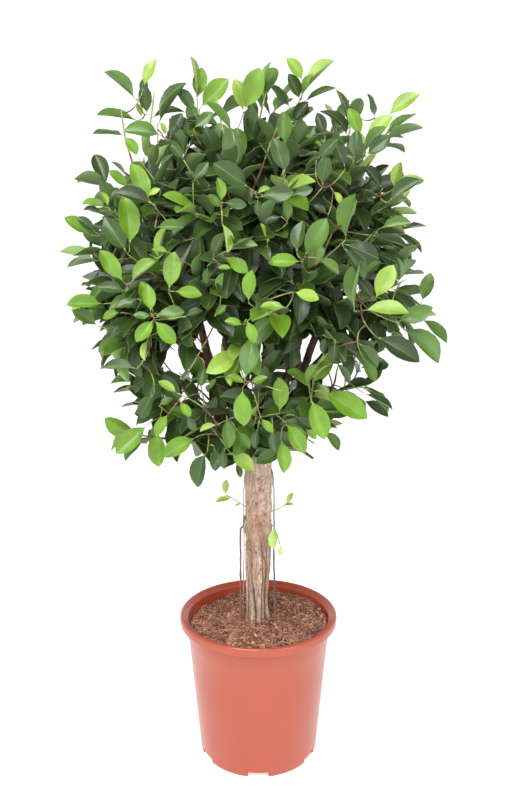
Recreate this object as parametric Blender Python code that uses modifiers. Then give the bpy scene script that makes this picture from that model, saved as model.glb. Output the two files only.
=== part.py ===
"""A laurel fig grown as a standard: one thick trunk with its aerial roots, a round crown of leafy masses on
boughs that fork above the trunk, and the plastic nursery pot that it grows in.

Metres, +Z up. The origin lies under the middle of the pot, on the surface that it stands on. Azimuths are in
degrees round the pot's axis: 0 is +X (the right side), 90 is the back, 180 the left and 270 the front.
"""

import math
import random

import bmesh
import bpy
from mathutils import Matrix, Vector, noise
from mathutils.bvhtree import BVHTree

# ---------------------------------------------------------------- driving dimensions
SEED = 27
GAP = 0.0003  # what neighbours that touch keep between them
NEARLY_TOUCHING = 0.0000003
CUTTER_EXTRA = 0.02  # how far a cutter runs past what it cuts

# pot
POT_HEIGHT = 0.250
RIM_RADIUS = 0.135  # outside of the rolled rim
RIM_WIDTH = 0.0140
RIM_BAND = 0.0145  # height of the rolled rim
RIM_SLOPE = 0.0065  # how far its top falls towards the inside
BODY_TOP_RADIUS = 0.1225
BASE_RADIUS = 0.1018
POT_WALL = 0.0026
STEP_HEIGHT = 0.2060  # the shallow step round the wall
STEP_DEPTH = 0.0008
PLATE_RADIUS = 0.064  # the middle of the base, which stands on the ground with the wall's foot
CHANNEL_HEIGHT = 0.011  # the raised ring between the two
NOTCH_COUNT = 6
NOTCH_WIDTH = 0.034
NOTCH_HEIGHT = 0.009
POT_SEGMENTS = 36

# potting mix
MIX_EDGE = 0.2310  # mean level where it meets the pot
MIX_TILT = 0.0050  # how much higher it lies against the pot at MIX_HIGH_SIDE
MIX_HIGH_SIDE = 10.0  # azimuth
MIX_CROWN = 0.2295  # level round the trunk
MIX_CLEARANCE = 0.0008  # to the pot's wall, whose flats come nearer than its corners
MIX_PAD_RADIUS = 0.041  # level patch that the trunk and the aerial roots stand on
MIX_BUMP = 0.004
MIX_SEGMENTS = 28
MIX_RINGS = 4

# trunk
TRUNK_FOOT = MIX_CROWN + GAP
TRUNK_TOP = 0.600
TRUNK_RADII = (
    (0.00, 0.0176),
    (0.10, 0.0180),
    (0.36, 0.0187),
    (0.47, 0.0222),
    (0.80, 0.0226),
    (0.93, 0.0195),
    (1.00, 0.0135),
)
TRUNK_SIDES = 27
TRUNK_RINGS = 13
STRAND_COUNT = 9  # aerial roots that have fused to the trunk
STRAND_HEIGHT = 0.0042
STRAND_HALF_WIDTH = 15.0  # degrees
STRAND_TOP = 0.415
STRAND_FADE = 0.035
STRAND_WANDER = 9.0  # degrees
FLARE_HEIGHT = 0.045
FLARE_EXTRA = 0.0016
HOLLOW_AZIMUTH = 352.0  # the hollow above the trunk's foot
HOLLOW_HEIGHT = 0.276
HOLLOW_DEPTH = 0.0058
HOLLOW_HALF_WIDTH = 48.0  # degrees
HOLLOW_HALF_HEIGHT = 0.036

# limbs
LIMB_POINTS = 6
STEM_LENGTH = 0.085  # from a limb's tip to the hub of its mass
STEM_RADIUS = 0.0030
TWIG_RADIUS = 0.0016
TWIG_TAPER = 0.55
FOOT_SHIFTS = (0.0, 0.3, -0.3, 0.6, -0.6)  # along the stem, tried in turn until a twig finds a clear way

# leaves, larger than life so that few of them fill the crown
LEAF_LENGTH = 0.088
LEAF_WIDTH = 0.048
LEAF_THICKNESS = 0.0014
LEAF_WIDEST = 0.52  # share of the length
TIP_LEAF_SUNK = 0.0030  # how far the last leaf's root lies inside its twig's end
TIP_INSET = 0.048  # from the outline to a twig's tip
LEAF_TRIES = 12  # places tried before a leaf is left out
GOLDEN_ANGLE = 137.508
LEAF_FAN = 62.0  # between a leaf and its twig
TIP_LEAF_FAN = 22.0  # between a twig's last leaf and the way straight on and out
LEAF_SPACING = 0.013  # along a twig
CLOSEST_LEAVES = 0.13  # the least spacing, as a share of the twig's length
LEAVES_PER_LEADER = 4
MASS_TRIES = 8
CELL_CLEARANCE = 0.0006

# The crown's outline: a squarish egg round CROWN_MIDDLE with a few broad lumps.
CROWN_MIDDLE = Vector((-0.012, 0.0, 0.800))
CROWN_HALF_WIDTH = 0.280
CROWN_RISE = 0.275
CROWN_DROP = 0.300
CROWN_TOP_SQUARENESS = 2.8
CROWN_SKIRT_SQUARENESS = 2.3
SKIRT_LOSS = 0.04  # how much less the lower crown reaches all round
SKIRT_LOSS_RIGHT = 0.24  # and towards +X
CROWN_LUMP = 0.07
CROWN_LUMPS = 2.2  # lumps across the crown
OUTLINE_SLACK = 1.06  # how far past the outline a leaf may reach

# Twig tips spread evenly over shells of the crown: share of the outline, number of tips, leaves on each.
SHELLS = ((1.00, 108, 4), (0.64, 12, 2))
GAPPY_BAND = (0.650, 0.725)  # heights between which the crown can be seen through
GAPPY_SKIP = 0.50  # share of the tips that are missing there
SKIRT_LEAVES = 3  # how many more leaves a twig has below that band

# Masses of foliage: azimuth, distance from the axis and height of the heart.
MASSES = {
    "top": (250, 0.010, 0.985),
    "upper_left": (196, 0.160, 0.935),
    "upper_front": (262, 0.150, 0.925),
    "upper_right": (338, 0.150, 0.935),
    "upper_back_right": (42, 0.150, 0.930),
    "upper_back_left": (125, 0.150, 0.935),
    "middle_left": (184, 0.180, 0.790),
    "middle_front_left": (230, 0.170, 0.795),
    "middle_front_right": (292, 0.165, 0.790),
    "middle_right": (352, 0.180, 0.795),
    "middle_back_right": (52, 0.170, 0.790),
    "middle_back_left": (120, 0.170, 0.790),
    "low_left": (198, 0.140, 0.620),
    "low_front": (262, 0.125, 0.605),
    "low_front_right": (315, 0.125, 0.605),
    "low_right": (350, 0.160, 0.665),
    "low_back_right": (50, 0.135, 0.620),
    "low_back_left": (125, 0.135, 0.620),
}

# Limbs, each ending where it enters the mass named last: what carries it, where along that, radius at the
# foot and at the tip, and how far its middle bows towards +X, +Y and +Z.
LIMBS = {
    "bough_middle": ("trunk", 0.98, 0.0122, 0.0060, (0.020, 0.000, 0.000), "top"),
    "bough_left": ("trunk", 0.86, 0.0120, 0.0065, (0.002, 0.000, 0.024), "middle_left"),
    "bough_right": ("trunk", 0.93, 0.0078, 0.0045, (0.022, 0.000, -0.026), "upper_right"),
    "bough_back_right": ("trunk", 0.90, 0.0095, 0.0050, (0.008, 0.008, -0.004), "middle_back_right"),
    "bough_back_left": ("trunk", 0.94, 0.0095, 0.0050, (-0.006, 0.010, 0.000), "middle_back_left"),
    "branch_upper_left": ("bough_left", 0.62, 0.0052, 0.0038, (0.004, 0.000, 0.020), "upper_left"),
    "branch_front_left": ("bough_left", 0.36, 0.0050, 0.0038, (-0.006, -0.016, 0.000), "middle_front_left"),
    "branch_upper_front": ("bough_middle", 0.55, 0.0052, 0.0038, (0.000, -0.010, -0.006), "upper_front"),
    "branch_right": ("bough_right", 0.40, 0.0046, 0.0036, (0.006, 0.004, -0.003), "middle_right"),
    "branch_front_right": ("bough_right", 0.26, 0.0046, 0.0036, (0.010, -0.020, -0.004), "middle_front_right"),
    "branch_high_back_right": ("bough_back_right", 0.60, 0.0048, 0.0036, (0, 0.004, 0.012), "upper_back_right"),
    "branch_high_back_left": ("bough_back_left", 0.60, 0.0048, 0.0036, (0, 0.004, 0.012), "upper_back_left"),
    "branch_low_left": ("trunk", 0.80, 0.0048, 0.0036, (0.000, 0.000, 0.018), "low_left"),
    "branch_low_front": ("trunk", 0.83, 0.0045, 0.0036, (0.000, 0.000, 0.014), "low_front"),
    "branch_low_front_right": ("trunk", 0.79, 0.0045, 0.0036, (0.000, 0.000, 0.014), "low_front_right"),
    "branch_low_right": ("trunk", 0.84, 0.0048, 0.0036, (0.000, 0.000, 0.002), "low_right"),
    "branch_low_back_right": ("trunk", 0.78, 0.0048, 0.0036, (0.000, 0.000, 0.014), "low_back_right"),
    "branch_low_back_left": ("trunk", 0.82, 0.0048, 0.0036, (0.000, 0.000, 0.014), "low_back_left"),
}

# Leader shoots, which overtop their mass: azimuth, distance from the axis and height of the last leaf's tip.
LEADERS = {
    "top": ((285, 0.060, 1.135), (330, 0.080, 1.150), (60, 0.080, 1.130)),
    "upper_left": ((193, 0.160, 1.140), (188, 0.225, 1.115), (176, 0.285, 0.985)),
    "upper_front": ((235, 0.120, 1.115), (290, 0.140, 1.080)),
    "upper_right": ((342, 0.225, 1.085), (325, 0.160, 1.095), (355, 0.255, 0.965)),
    "upper_back_right": ((40, 0.170, 1.110), (60, 0.235, 1.050)),
    "upper_back_left": ((130, 0.170, 1.115), (110, 0.235, 1.050)),
    "middle_left": ((184, 0.300, 0.890), (188, 0.302, 0.770)),
    "middle_right": ((352, 0.288, 0.730), (345, 0.272, 0.840)),
    "low_left": ((200, 0.250, 0.555),),
    "low_right": ((345, 0.205, 0.610),),
}

# Free aerial roots, from the trunk down to the mix: azimuth, height of the top, radius, and how far from the
# trunk's axis it hangs at its middle and at its foot.
AERIAL_ROOTS = {
    "aerial_root_left": (184, 0.425, 0.0016, (0.0305, 0.0315)),
    "aerial_root_left_thin": (168, 0.500, 0.0009, (0.0256, 0.0265)),
    "aerial_root_right": (356, 0.505, 0.0014, (0.0264, 0.0290)),
    "aerial_root_back": (70, 0.470, 0.0013, (0.0285, 0.0310)),
}
ROOT_SWING = 0.12  # share of its length in which a root leaves the trunk
ROOT_POINTS = 11

# Young shoots on the bare trunk: azimuth, height, and the reach and rise of the tip, and its leaves' length.
WATER_SHOOTS = {
    "water_shoot_left": (192, 0.440, 0.030, 0.022, 0.026),
    "water_shoot_right": (350, 0.432, 0.026, 0.016, 0.022),
    "water_shoot_low": (318, 0.418, 0.010, -0.014, 0.030),
}
WATER_SHOOT_RADIUS = 0.0008

COLOURS = {  # base colour, roughness
    "pot": ((0.66, 0.15, 0.075), 0.38),
    "mix": ((0.13, 0.055, 0.028), 0.95),
    "bark": ((0.33, 0.25, 0.18), 0.85),
    "limb": ((0.17, 0.095, 0.060), 0.80),
    "foliage": ((0.055, 0.17, 0.030), 0.40),
    "young": ((0.34, 0.52, 0.10), 0.45),
}


# ---------------------------------------------------------------- small helpers
def place(azimuth, out, height):
    """The point at that azimuth, distance from the pot's axis and height."""
    a = math.radians(azimuth)
    return Vector((out * math.cos(a), out * math.sin(a), height))


def blend_along(table, share):
    """The value at share in rows of (share, value), by straight lines between them."""
    for (low, a), (high, b) in zip(table, table[1:]):
        if share <= high:
            return a + (b - a) * (share - low) / (high - low)
    return table[-1][1]


def smooth_step(low, high, x):
    t = min(1.0, max(0.0, (x - low) / (high - low)))
    return t * t * (3.0 - 2.0 * t)


def make_material(name):
    colour, roughness = COLOURS[name]
    material = bpy.data.materials.new(name)
    material.use_nodes = True
    shader = material.node_tree.nodes["Principled BSDF"]
    shader.inputs["Base Color"].default_value = (*colour, 1.0)
    shader.inputs["Roughness"].default_value = roughness
    shader.inputs["Metallic"].default_value = 0.0
    return material


def add_object(name, data, collection, material=None):
    made = bpy.data.objects.new(name, data)
    collection.objects.link(made)
    if material:
        data.materials.append(material)
    return made


def mesh_of(bm, name):
    mesh = bpy.data.meshes.new(name)
    bm.to_mesh(mesh)
    bm.free()
    return mesh


def bake_modifiers(obj):
    """Replaces the object's mesh by the evaluated one and drops its modifiers."""
    graph = bpy.context.evaluated_depsgraph_get()
    mesh = bpy.data.meshes.new_from_object(obj.evaluated_get(graph))
    obj.modifiers.clear()
    obj.data = mesh


def boolean(obj, operation, other, solver="EXACT"):
    """Joins or cuts obj by an object or by all that a collection holds, and applies it."""
    modifier = obj.modifiers.new(operation.lower(), "BOOLEAN")
    modifier.operation = operation
    modifier.solver = solver
    if isinstance(other, bpy.types.Collection):
        modifier.operand_type = "COLLECTION"
        modifier.collection = other
    else:
        modifier.object = other
    bake_modifiers(obj)


def is_sound(mesh):
    """Whether a mesh is one closed body that nowhere touches itself, once points that almost meet are merged."""
    bm = bmesh.new()
    bm.from_mesh(mesh)
    bmesh.ops.triangulate(bm, faces=bm.faces)
    bmesh.ops.remove_doubles(bm, verts=bm.verts, dist=NEARLY_TOUCHING)
    sound = all(edge.is_manifold for edge in bm.edges)
    reached, front = set(), [next(iter(bm.verts))]
    while front:
        vertex = front.pop()
        if vertex not in reached:
            reached.add(vertex)
            front += [edge.other_vert(vertex) for edge in vertex.link_edges]
    sound = sound and len(reached) == len(bm.verts)
    bm.free()
    return sound


def smooth_shade(mesh, angle=50.0):
    mesh.shade_smooth()
    mesh.set_sharp_from_angle(angle=math.radians(angle))


def turned(name, profile, segments, collection, material):
    """A solid turned about Z from (radius, height) points, whose first and last lie on the axis."""
    bm = bmesh.new()
    points = [bm.verts.new((r, 0.0, z)) for r, z in profile]
    for a, b in zip(points, points[1:]):
        bm.edges.new((a, b))
    obj = add_object(name, mesh_of(bm, name), collection, material)
    screw = obj.modifiers.new("turn", "SCREW")
    screw.axis = "Z"
    screw.steps = screw.render_steps = segments
    screw.use_merge_vertices = True
    screw.merge_threshold = 0.00001
    bake_modifiers(obj)
    return obj


def tube(name, points, radii, collection, material, sides_setting=1):
    """A round limb along points, tapering by its radii, as a mesh with flat welded ends."""
    curve = bpy.data.curves.new(name, "CURVE")
    curve.dimensions = "3D"
    curve.bevel_depth = 1.0
    curve.bevel_resolution = sides_setting
    curve.use_fill_caps = True
    spline = curve.splines.new("POLY")
    spline.points.add(len(points) - 1)
    for knot, point, radius in zip(spline.points, points, radii):
        knot.co = (*point, 1.0)
        knot.radius = radius
    guide = bpy.data.objects.new(name + "_curve", curve)
    collection.objects.link(guide)
    graph = bpy.context.evaluated_depsgraph_get()
    mesh = bpy.data.meshes.new_from_object(guide.evaluated_get(graph))
    bpy.data.objects.remove(guide)
    bm = bmesh.new()
    bm.from_mesh(mesh)
    bmesh.ops.remove_doubles(bm, verts=bm.verts, dist=0.00001)
    bmesh.ops.recalc_face_normals(bm, faces=bm.faces)
    bm.to_mesh(mesh)
    bm.free()
    mesh.name = name
    smooth_shade(mesh)
    mesh.materials.clear()
    return add_object(name, mesh, collection, material)


def bent(start, bow, end, count):
    """Points on the curve from start to end whose middle is pulled by bow, and its heading at the end."""
    control = (start + end) / 2 + bow * 2
    shares = [i / (count - 1) for i in range(count)]
    points = [start * (1 - t) ** 2 + control * 2 * t * (1 - t) + end * t**2 for t in shares]
    return points, (points[-1] - points[-2]).normalized()


# ---------------------------------------------------------------- pot and potting mix
def wall_radius(height):
    """Outside radius of the pot's body at a height, without the step."""
    return BASE_RADIUS + (BODY_TOP_RADIUS - BASE_RADIUS) * height / (POT_HEIGHT - RIM_BAND)


def inner_radius(height):
    """Inside radius of the pot between its floor and its rim."""
    low, high = CHANNEL_HEIGHT + POT_WALL, POT_HEIGHT - RIM_SLOPE
    foot, top = wall_radius(low) - POT_WALL, RIM_RADIUS - RIM_WIDTH
    return foot + (top - foot) * (height - low) / (high - low)


def rim_profile():
    """The rolled rim, from its inner edge over the top and down to its underside."""
    inner = RIM_RADIUS - RIM_WIDTH
    roll = RIM_WIDTH * 0.32
    shoulder = POT_HEIGHT - roll
    over = [
        (RIM_RADIUS - roll + roll * math.sin(a), shoulder + roll * math.cos(a))
        for a in (math.radians(d) for d in (0, 45, 90))
    ]
    under = POT_HEIGHT - RIM_BAND
    return [
        (inner, POT_HEIGHT - RIM_SLOPE),
        (inner + RIM_WIDTH * 0.16, POT_HEIGHT - RIM_SLOPE * 0.72),
        *over,
        (RIM_RADIUS, under + roll * 0.5),
        (RIM_RADIUS - roll * 0.4, under),
    ]


def make_pot(collection, cutters, material):
    under = POT_HEIGHT - RIM_BAND
    floor = CHANNEL_HEIGHT + POT_WALL
    profile = [
        (0.0, POT_WALL),
        (PLATE_RADIUS - POT_WALL, POT_WALL),
        (PLATE_RADIUS, floor),
        (inner_radius(floor), floor),
        *rim_profile(),
        (BODY_TOP_RADIUS + STEP_DEPTH, under + 0.001),
        (wall_radius(STEP_HEIGHT) + STEP_DEPTH, STEP_HEIGHT),
        (wall_radius(STEP_HEIGHT), STEP_HEIGHT - STEP_DEPTH * 2),
        (wall_radius(0.004), 0.004),
        (BASE_RADIUS - 0.001, 0.0),
        (BASE_RADIUS - POT_WALL - 0.001, 0.0),
        (BASE_RADIUS - POT_WALL, CHANNEL_HEIGHT),
        (PLATE_RADIUS + POT_WALL * 0.4, CHANNEL_HEIGHT),
        (PLATE_RADIUS + POT_WALL * 0.4 - 0.002, 0.0),
        (0.0, 0.0),
    ]
    pot = turned("pot", profile, POT_SEGMENTS, collection, material)
    depth = POT_WALL * 4
    for i in range(NOTCH_COUNT):
        azimuth = 270 + i * 360 / NOTCH_COUNT
        bm = bmesh.new()
        size = Matrix.Diagonal((depth, NOTCH_WIDTH, NOTCH_HEIGHT + CUTTER_EXTRA, 1.0))
        bmesh.ops.create_cube(bm, size=1.0, matrix=size)
        notch = add_object(f"notch_{i}", mesh_of(bm, "notch"), cutters)
        centre = place(azimuth, BASE_RADIUS, (NOTCH_HEIGHT - CUTTER_EXTRA) / 2)
        notch.matrix_world = Matrix.Translation(centre) @ Matrix.Rotation(math.radians(azimuth), 4, "Z")
    bpy.context.view_layer.update()
    boolean(pot, "DIFFERENCE", cutters)
    smooth_shade(pot.data, 35.0)
    return pot


def mix_level(x, y):
    """Height of the potting mix: mounded round the trunk, lumpy, and level under the trunk's foot."""
    out = math.hypot(x, y)
    edge = smooth_step(MIX_PAD_RADIUS, inner_radius(MIX_EDGE), out)
    edge_level = MIX_EDGE + MIX_TILT * math.cos(math.atan2(y, x) - math.radians(MIX_HIGH_SIDE))
    lump = (noise.noise(Vector((x, y, 0.0)) * 28.0) - 0.3) * MIX_BUMP
    lumpy = smooth_step(MIX_PAD_RADIUS, MIX_PAD_RADIUS * 1.4, out)
    return MIX_CROWN + (edge_level - MIX_CROWN) * edge + lump * lumpy


def make_mix(collection, material):
    floor = CHANNEL_HEIGHT + POT_WALL
    profile = [(0.0, MIX_CROWN), (MIX_PAD_RADIUS, MIX_CROWN)]
    edge_radius = inner_radius(MIX_EDGE) - MIX_CLEARANCE
    for i in range(1, MIX_RINGS + 1):
        out = MIX_PAD_RADIUS + (edge_radius - MIX_PAD_RADIUS) * i / MIX_RINGS
        profile.append((out, MIX_CROWN))
    profile += [
        (inner_radius(floor) - MIX_CLEARANCE, floor + GAP),
        (PLATE_RADIUS - MIX_CLEARANCE, floor + GAP),
        (PLATE_RADIUS - POT_WALL - MIX_CLEARANCE, POT_WALL + GAP),
        (0.0, POT_WALL + GAP),
    ]
    mix = turned("potting_mix", profile, MIX_SEGMENTS, collection, material)
    for vertex in mix.data.vertices:
        if vertex.co.z > MIX_CROWN - GAP:
            vertex.co.z = mix_level(vertex.co.x, vertex.co.y)
            if math.hypot(vertex.co.x, vertex.co.y) > edge_radius - GAP:
                share = (inner_radius(vertex.co.z) - MIX_CLEARANCE) / edge_radius
                vertex.co.x *= share
                vertex.co.y *= share
    smooth_shade(mix.data, 60.0)
    return mix


# ---------------------------------------------------------------- trunk
def trunk_radius(azimuth, height):
    """Radius of the trunk at an azimuth in degrees and a height, with the strands that have fused to it."""
    share = (height - TRUNK_FOOT) / (TRUNK_TOP - TRUNK_FOOT)
    radius = blend_along(TRUNK_RADII, share)
    flare = 1.0 - smooth_step(TRUNK_FOOT, TRUNK_FOOT + FLARE_HEIGHT, height)
    for i in range(STRAND_COUNT):
        top = STRAND_TOP + 0.022 * math.sin(i * 2.3)
        middle = i * 360 / STRAND_COUNT + STRAND_WANDER * math.sin(height * 22.0 + i * 1.9)
        width = STRAND_HALF_WIDTH * (0.75 + 0.35 * math.sin(i * 1.7) ** 2)
        off = (azimuth - middle + 180.0) % 360.0 - 180.0
        ridge = math.exp(-((off / width) ** 2) * 1.6)
        shown = 1.0 - smooth_step(top - STRAND_FADE, top, height)
        radius += ridge * shown * (STRAND_HEIGHT * (0.7 + 0.3 * math.sin(i * 2.9)) + FLARE_EXTRA * flare)
    aside = ((azimuth - HOLLOW_AZIMUTH + 180.0) % 360.0 - 180.0) / HOLLOW_HALF_WIDTH
    above = (height - HOLLOW_HEIGHT) / HOLLOW_HALF_HEIGHT
    return radius - HOLLOW_DEPTH * math.exp(-(aside**2) - above**2)


def make_trunk(name, collection, material, extra=0.0):
    """The trunk, a loft of rings between flat ends. extra makes it fatter, as a cutter."""
    bm = bmesh.new()
    rings = []
    for k in range(TRUNK_RINGS + 1):
        height = TRUNK_FOOT + (TRUNK_TOP - TRUNK_FOOT) * k / TRUNK_RINGS
        ring = []
        for s in range(TRUNK_SIDES):
            azimuth = s * 360 / TRUNK_SIDES
            ring.append(bm.verts.new(place(azimuth, trunk_radius(azimuth, height) + extra, height)))
        rings.append(ring)
    for low, high in zip(rings, rings[1:]):
        for s in range(TRUNK_SIDES):
            t = (s + 1) % TRUNK_SIDES
            bm.faces.new((low[s], low[t], high[t], high[s]))
    bm.faces.new(reversed(rings[0]))
    bm.faces.new(rings[-1])
    mesh = mesh_of(bm, name)
    smooth_shade(mesh)
    return add_object(name, mesh, collection, material)


# ---------------------------------------------------------------- limbs
def heart(mass):
    azimuth, out, height = MASSES[mass][:3]
    return place(azimuth, out, height)


def plan_limbs():
    """{name: (points, radii, heading at the tip)} of every limb, carriers first."""
    trunk_line = [Vector((0, 0, TRUNK_FOOT)), Vector((0, 0, TRUNK_TOP))]
    lines = {"trunk": trunk_line}
    plans = {}
    for name, (carrier, where, foot_radius, tip_radius, bow, mass) in LIMBS.items():
        line = lines[carrier]
        spot = where * (len(line) - 1)
        i = min(int(spot), len(line) - 2)
        start = line[i].lerp(line[i + 1], spot - i)
        tip = heart(mass) + (start - heart(mass)).normalized() * STEM_LENGTH
        points, heading = bent(start, Vector(bow), tip, LIMB_POINTS)
        lines[name] = points
        last = LIMB_POINTS - 1
        radii = [foot_radius + (tip_radius - foot_radius) * k / last for k in range(LIMB_POINTS)]
        plans[name] = (points, radii, heading)
    return plans


def make_limbs(plans, collection, cutters, material, trunk_cutter):
    """Every limb, its foot cut to the limb or trunk that carries it, and the fatter copy of each."""
    grown = {"trunk": trunk_cutter}
    for name, (points, radii, _) in plans.items():
        limb = tube(name, points, radii, collection, material)
        grown[name] = tube(name + "_cutter", points, [r + GAP for r in radii], cutters, None)
        boolean(limb, "DIFFERENCE", grown[LIMBS[name][0]])
        smooth_shade(limb.data)
    return grown


# ---------------------------------------------------------------- aerial roots and young shoots on the trunk
def make_aerial_root(name, collection, material):
    """A hanging root: it leaves the trunk at its top, hangs clear of it and stands on the mix."""
    azimuth, top, radius, (out_middle, out_foot) = AERIAL_ROOTS[name]
    foot = MIX_CROWN + GAP
    points = []
    for k in range(ROOT_POINTS):
        share = k / (ROOT_POINTS - 1)
        height = top + (foot - top) * share
        hang = blend_along(((0.0, 0.0), (ROOT_SWING, out_middle), (0.5, out_middle), (1.0, out_foot)), share)
        turn = azimuth + 3.0 * math.sin(share * 9.0)
        nearest = max(trunk_radius(turn + d, height) for d in (-12, -6, 0, 6, 12))
        points.append(place(turn, max(hang, nearest + radius + GAP * 2), height))
    radii = [radius * (1.0 + 0.5 * smooth_step(0.75, 1.0, k / (ROOT_POINTS - 1))) for k in range(ROOT_POINTS)]
    return tube(name, points, radii, collection, material, sides_setting=0)


# ---------------------------------------------------------------- leaves and twigs
def leaf_template():
    """A leaf of unit length, width and thickness along +Y, its upper side +Z, with 8 faces."""
    bm = bmesh.new()
    bmesh.ops.create_uvsphere(bm, u_segments=4, v_segments=2, radius=0.5)
    for vertex in bm.verts:
        if abs(vertex.co.y) < 0.1:
            vertex.co.y = LEAF_WIDEST - 0.5
        vertex.co.y += 0.5
    return mesh_of(bm, "leaf")


def twig_template():
    """A three-sided twig of unit length and radius along +Z."""
    bm = bmesh.new()
    move = Matrix.Translation((0, 0, 0.5))
    bmesh.ops.create_cone(
        bm, cap_ends=True, segments=3, radius1=1.0, radius2=TWIG_TAPER, depth=1.0, matrix=move
    )
    return mesh_of(bm, "twig")


def leaf_frame(root, heading, face, length, width):
    """The matrix that lays the leaf template at root, along heading, its upper side towards face."""
    y = heading.normalized()
    x = y.cross(face).normalized()
    z = x.cross(y)
    turn = Matrix((x, y, z)).transposed().to_4x4()
    return Matrix.Translation(root) @ turn @ Matrix.Diagonal((width, length, LEAF_THICKNESS, 1.0))


def twig_frame(start, end, radius):
    along = end - start
    turn = along.to_track_quat("Z", "Y").to_matrix().to_4x4()
    return Matrix.Translation(start) @ turn @ Matrix.Diagonal((radius, radius, along.length, 1.0))


def crown_reach(way):
    """How far the crown's outline lies from its middle in a direction."""
    high, n = CROWN_RISE, CROWN_TOP_SQUARENESS
    if way.z < 0:
        high, n = CROWN_DROP, CROWN_SKIRT_SQUARENESS
    flat = math.hypot(way.x, way.y) / CROWN_HALF_WIDTH
    egg = (flat**n + abs(way.z / high) ** n) ** (-1.0 / n)
    loss = SKIRT_LOSS + SKIRT_LOSS_RIGHT * max(0.0, way.x)
    egg *= 1.0 - loss * smooth_step(0.1, 0.7, -way.z)
    return egg * (1.0 + CROWN_LUMP * noise.noise(way * CROWN_LUMPS + Vector((SEED, 0, 0))))


def even_directions(count):
    """count directions spread evenly over a sphere by the golden angle, from the top down."""
    for i in range(count):
        z = 1.0 - 2.0 * (i + 0.5) / count
        out = math.sqrt(1.0 - z * z)
        a = math.radians(i * GOLDEN_ANGLE)
        yield Vector((out * math.cos(a), out * math.sin(a), z))


def share_out_tips():
    """{mass: [(place of a twig's tip, number of leaves, whether a leader)]} for the whole crown."""
    rng = random.Random(SEED)
    hearts = {mass: heart(mass) for mass in MASSES}
    tips = {mass: [] for mass in MASSES}
    for share, count, leaf_count in SHELLS:
        for way in even_directions(count):
            tip = CROWN_MIDDLE + way * (crown_reach(way) * share - TIP_INSET)
            if GAPPY_BAND[0] < tip.z < GAPPY_BAND[1] and rng.random() < GAPPY_SKIP:
                continue
            mass = min(hearts, key=lambda m: (hearts[m] - tip).length)
            extra = SKIRT_LEAVES if tip.z < GAPPY_BAND[0] else 0
            tips[mass].append((tip, leaf_count + extra, False))
    for mass, rows in LEADERS.items():
        for row in rows:
            last = place(*row)
            tip = last - (last - hearts[mass]).normalized() * LEAF_LENGTH * 0.8
            tips[mass].append((tip, LEAVES_PER_LEADER, True))
    return tips


class Space:
    """The space that a mass keeps to: nearer to its heart than to any other, and clear of the limbs."""

    def __init__(self, mass, limb_tree):
        self.own = heart(mass)
        self.others = [heart(m) for m in MASSES if m != mass]
        self.limb_tree = limb_tree

    def tree_in(self, mesh, frame, leader=False):
        """The search tree of a piece that is laid by frame, or None where it would leave the space."""
        points = [frame @ v.co for v in mesh.vertices]
        for point in points:
            out = point - CROWN_MIDDLE
            if not leader and out.length > crown_reach(out.normalized()) * OUTLINE_SLACK:
                return None
        for other in self.others:
            middle, away = (self.own + other) / 2, (other - self.own).normalized()
            if any((p - middle).dot(away) > -CELL_CLEARANCE for p in points):
                return None
        tree = BVHTree.FromPolygons(points, [tuple(f.vertices) for f in mesh.polygons])
        return None if tree.overlap(self.limb_tree) else tree


def leaf_beside(rng, start, end, number, effort):
    """A frame for one leaf of a twig: number 0 stands at its tip, and the rest alternate below it.

    effort goes from 0 to 1 as tries fail, and turns the leaf ever further aside."""
    along = (end - start).normalized()
    back = number * min(LEAF_SPACING, (end - start).length * CLOSEST_LEAVES)
    outward = (end - CROWN_MIDDLE).normalized()
    aim = along if number else (outward + along).normalized()
    side = Matrix.Rotation(rng.uniform(0, math.tau), 3, aim) @ aim.orthogonal().normalized()
    angle = math.radians((LEAF_FAN if number else TIP_LEAF_FAN) + rng.uniform(-10, 10) + 40 * effort)
    heading = aim * math.cos(angle) + side * math.sin(angle)
    face = outward + Vector((0, 0, 0.5))
    if abs(heading.dot(face.normalized())) > 0.9:
        face = side
    length = LEAF_LENGTH * (0.85 + 0.25 * rng.random())
    root = end - along * back if number else end - heading * TIP_LEAF_SUNK
    return leaf_frame(root, heading, face, length, LEAF_WIDTH * length / LEAF_LENGTH)


def make_mass(mass, plan, tips, templates, limb_tree, collection, scrap, material):
    """One mass, grown again with another seed where its leaves and twigs happen to join badly."""
    for attempt in range(MASS_TRIES):
        rng = random.Random(f"{SEED} {mass} {attempt}")
        grown = grow_mass(rng, mass, plan, tips, templates, limb_tree, collection, scrap, material)
        if is_sound(grown.data):
            return
        bpy.data.objects.remove(grown)
    raise RuntimeError(f"{mass} did not join in {MASS_TRIES} tries")


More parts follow.
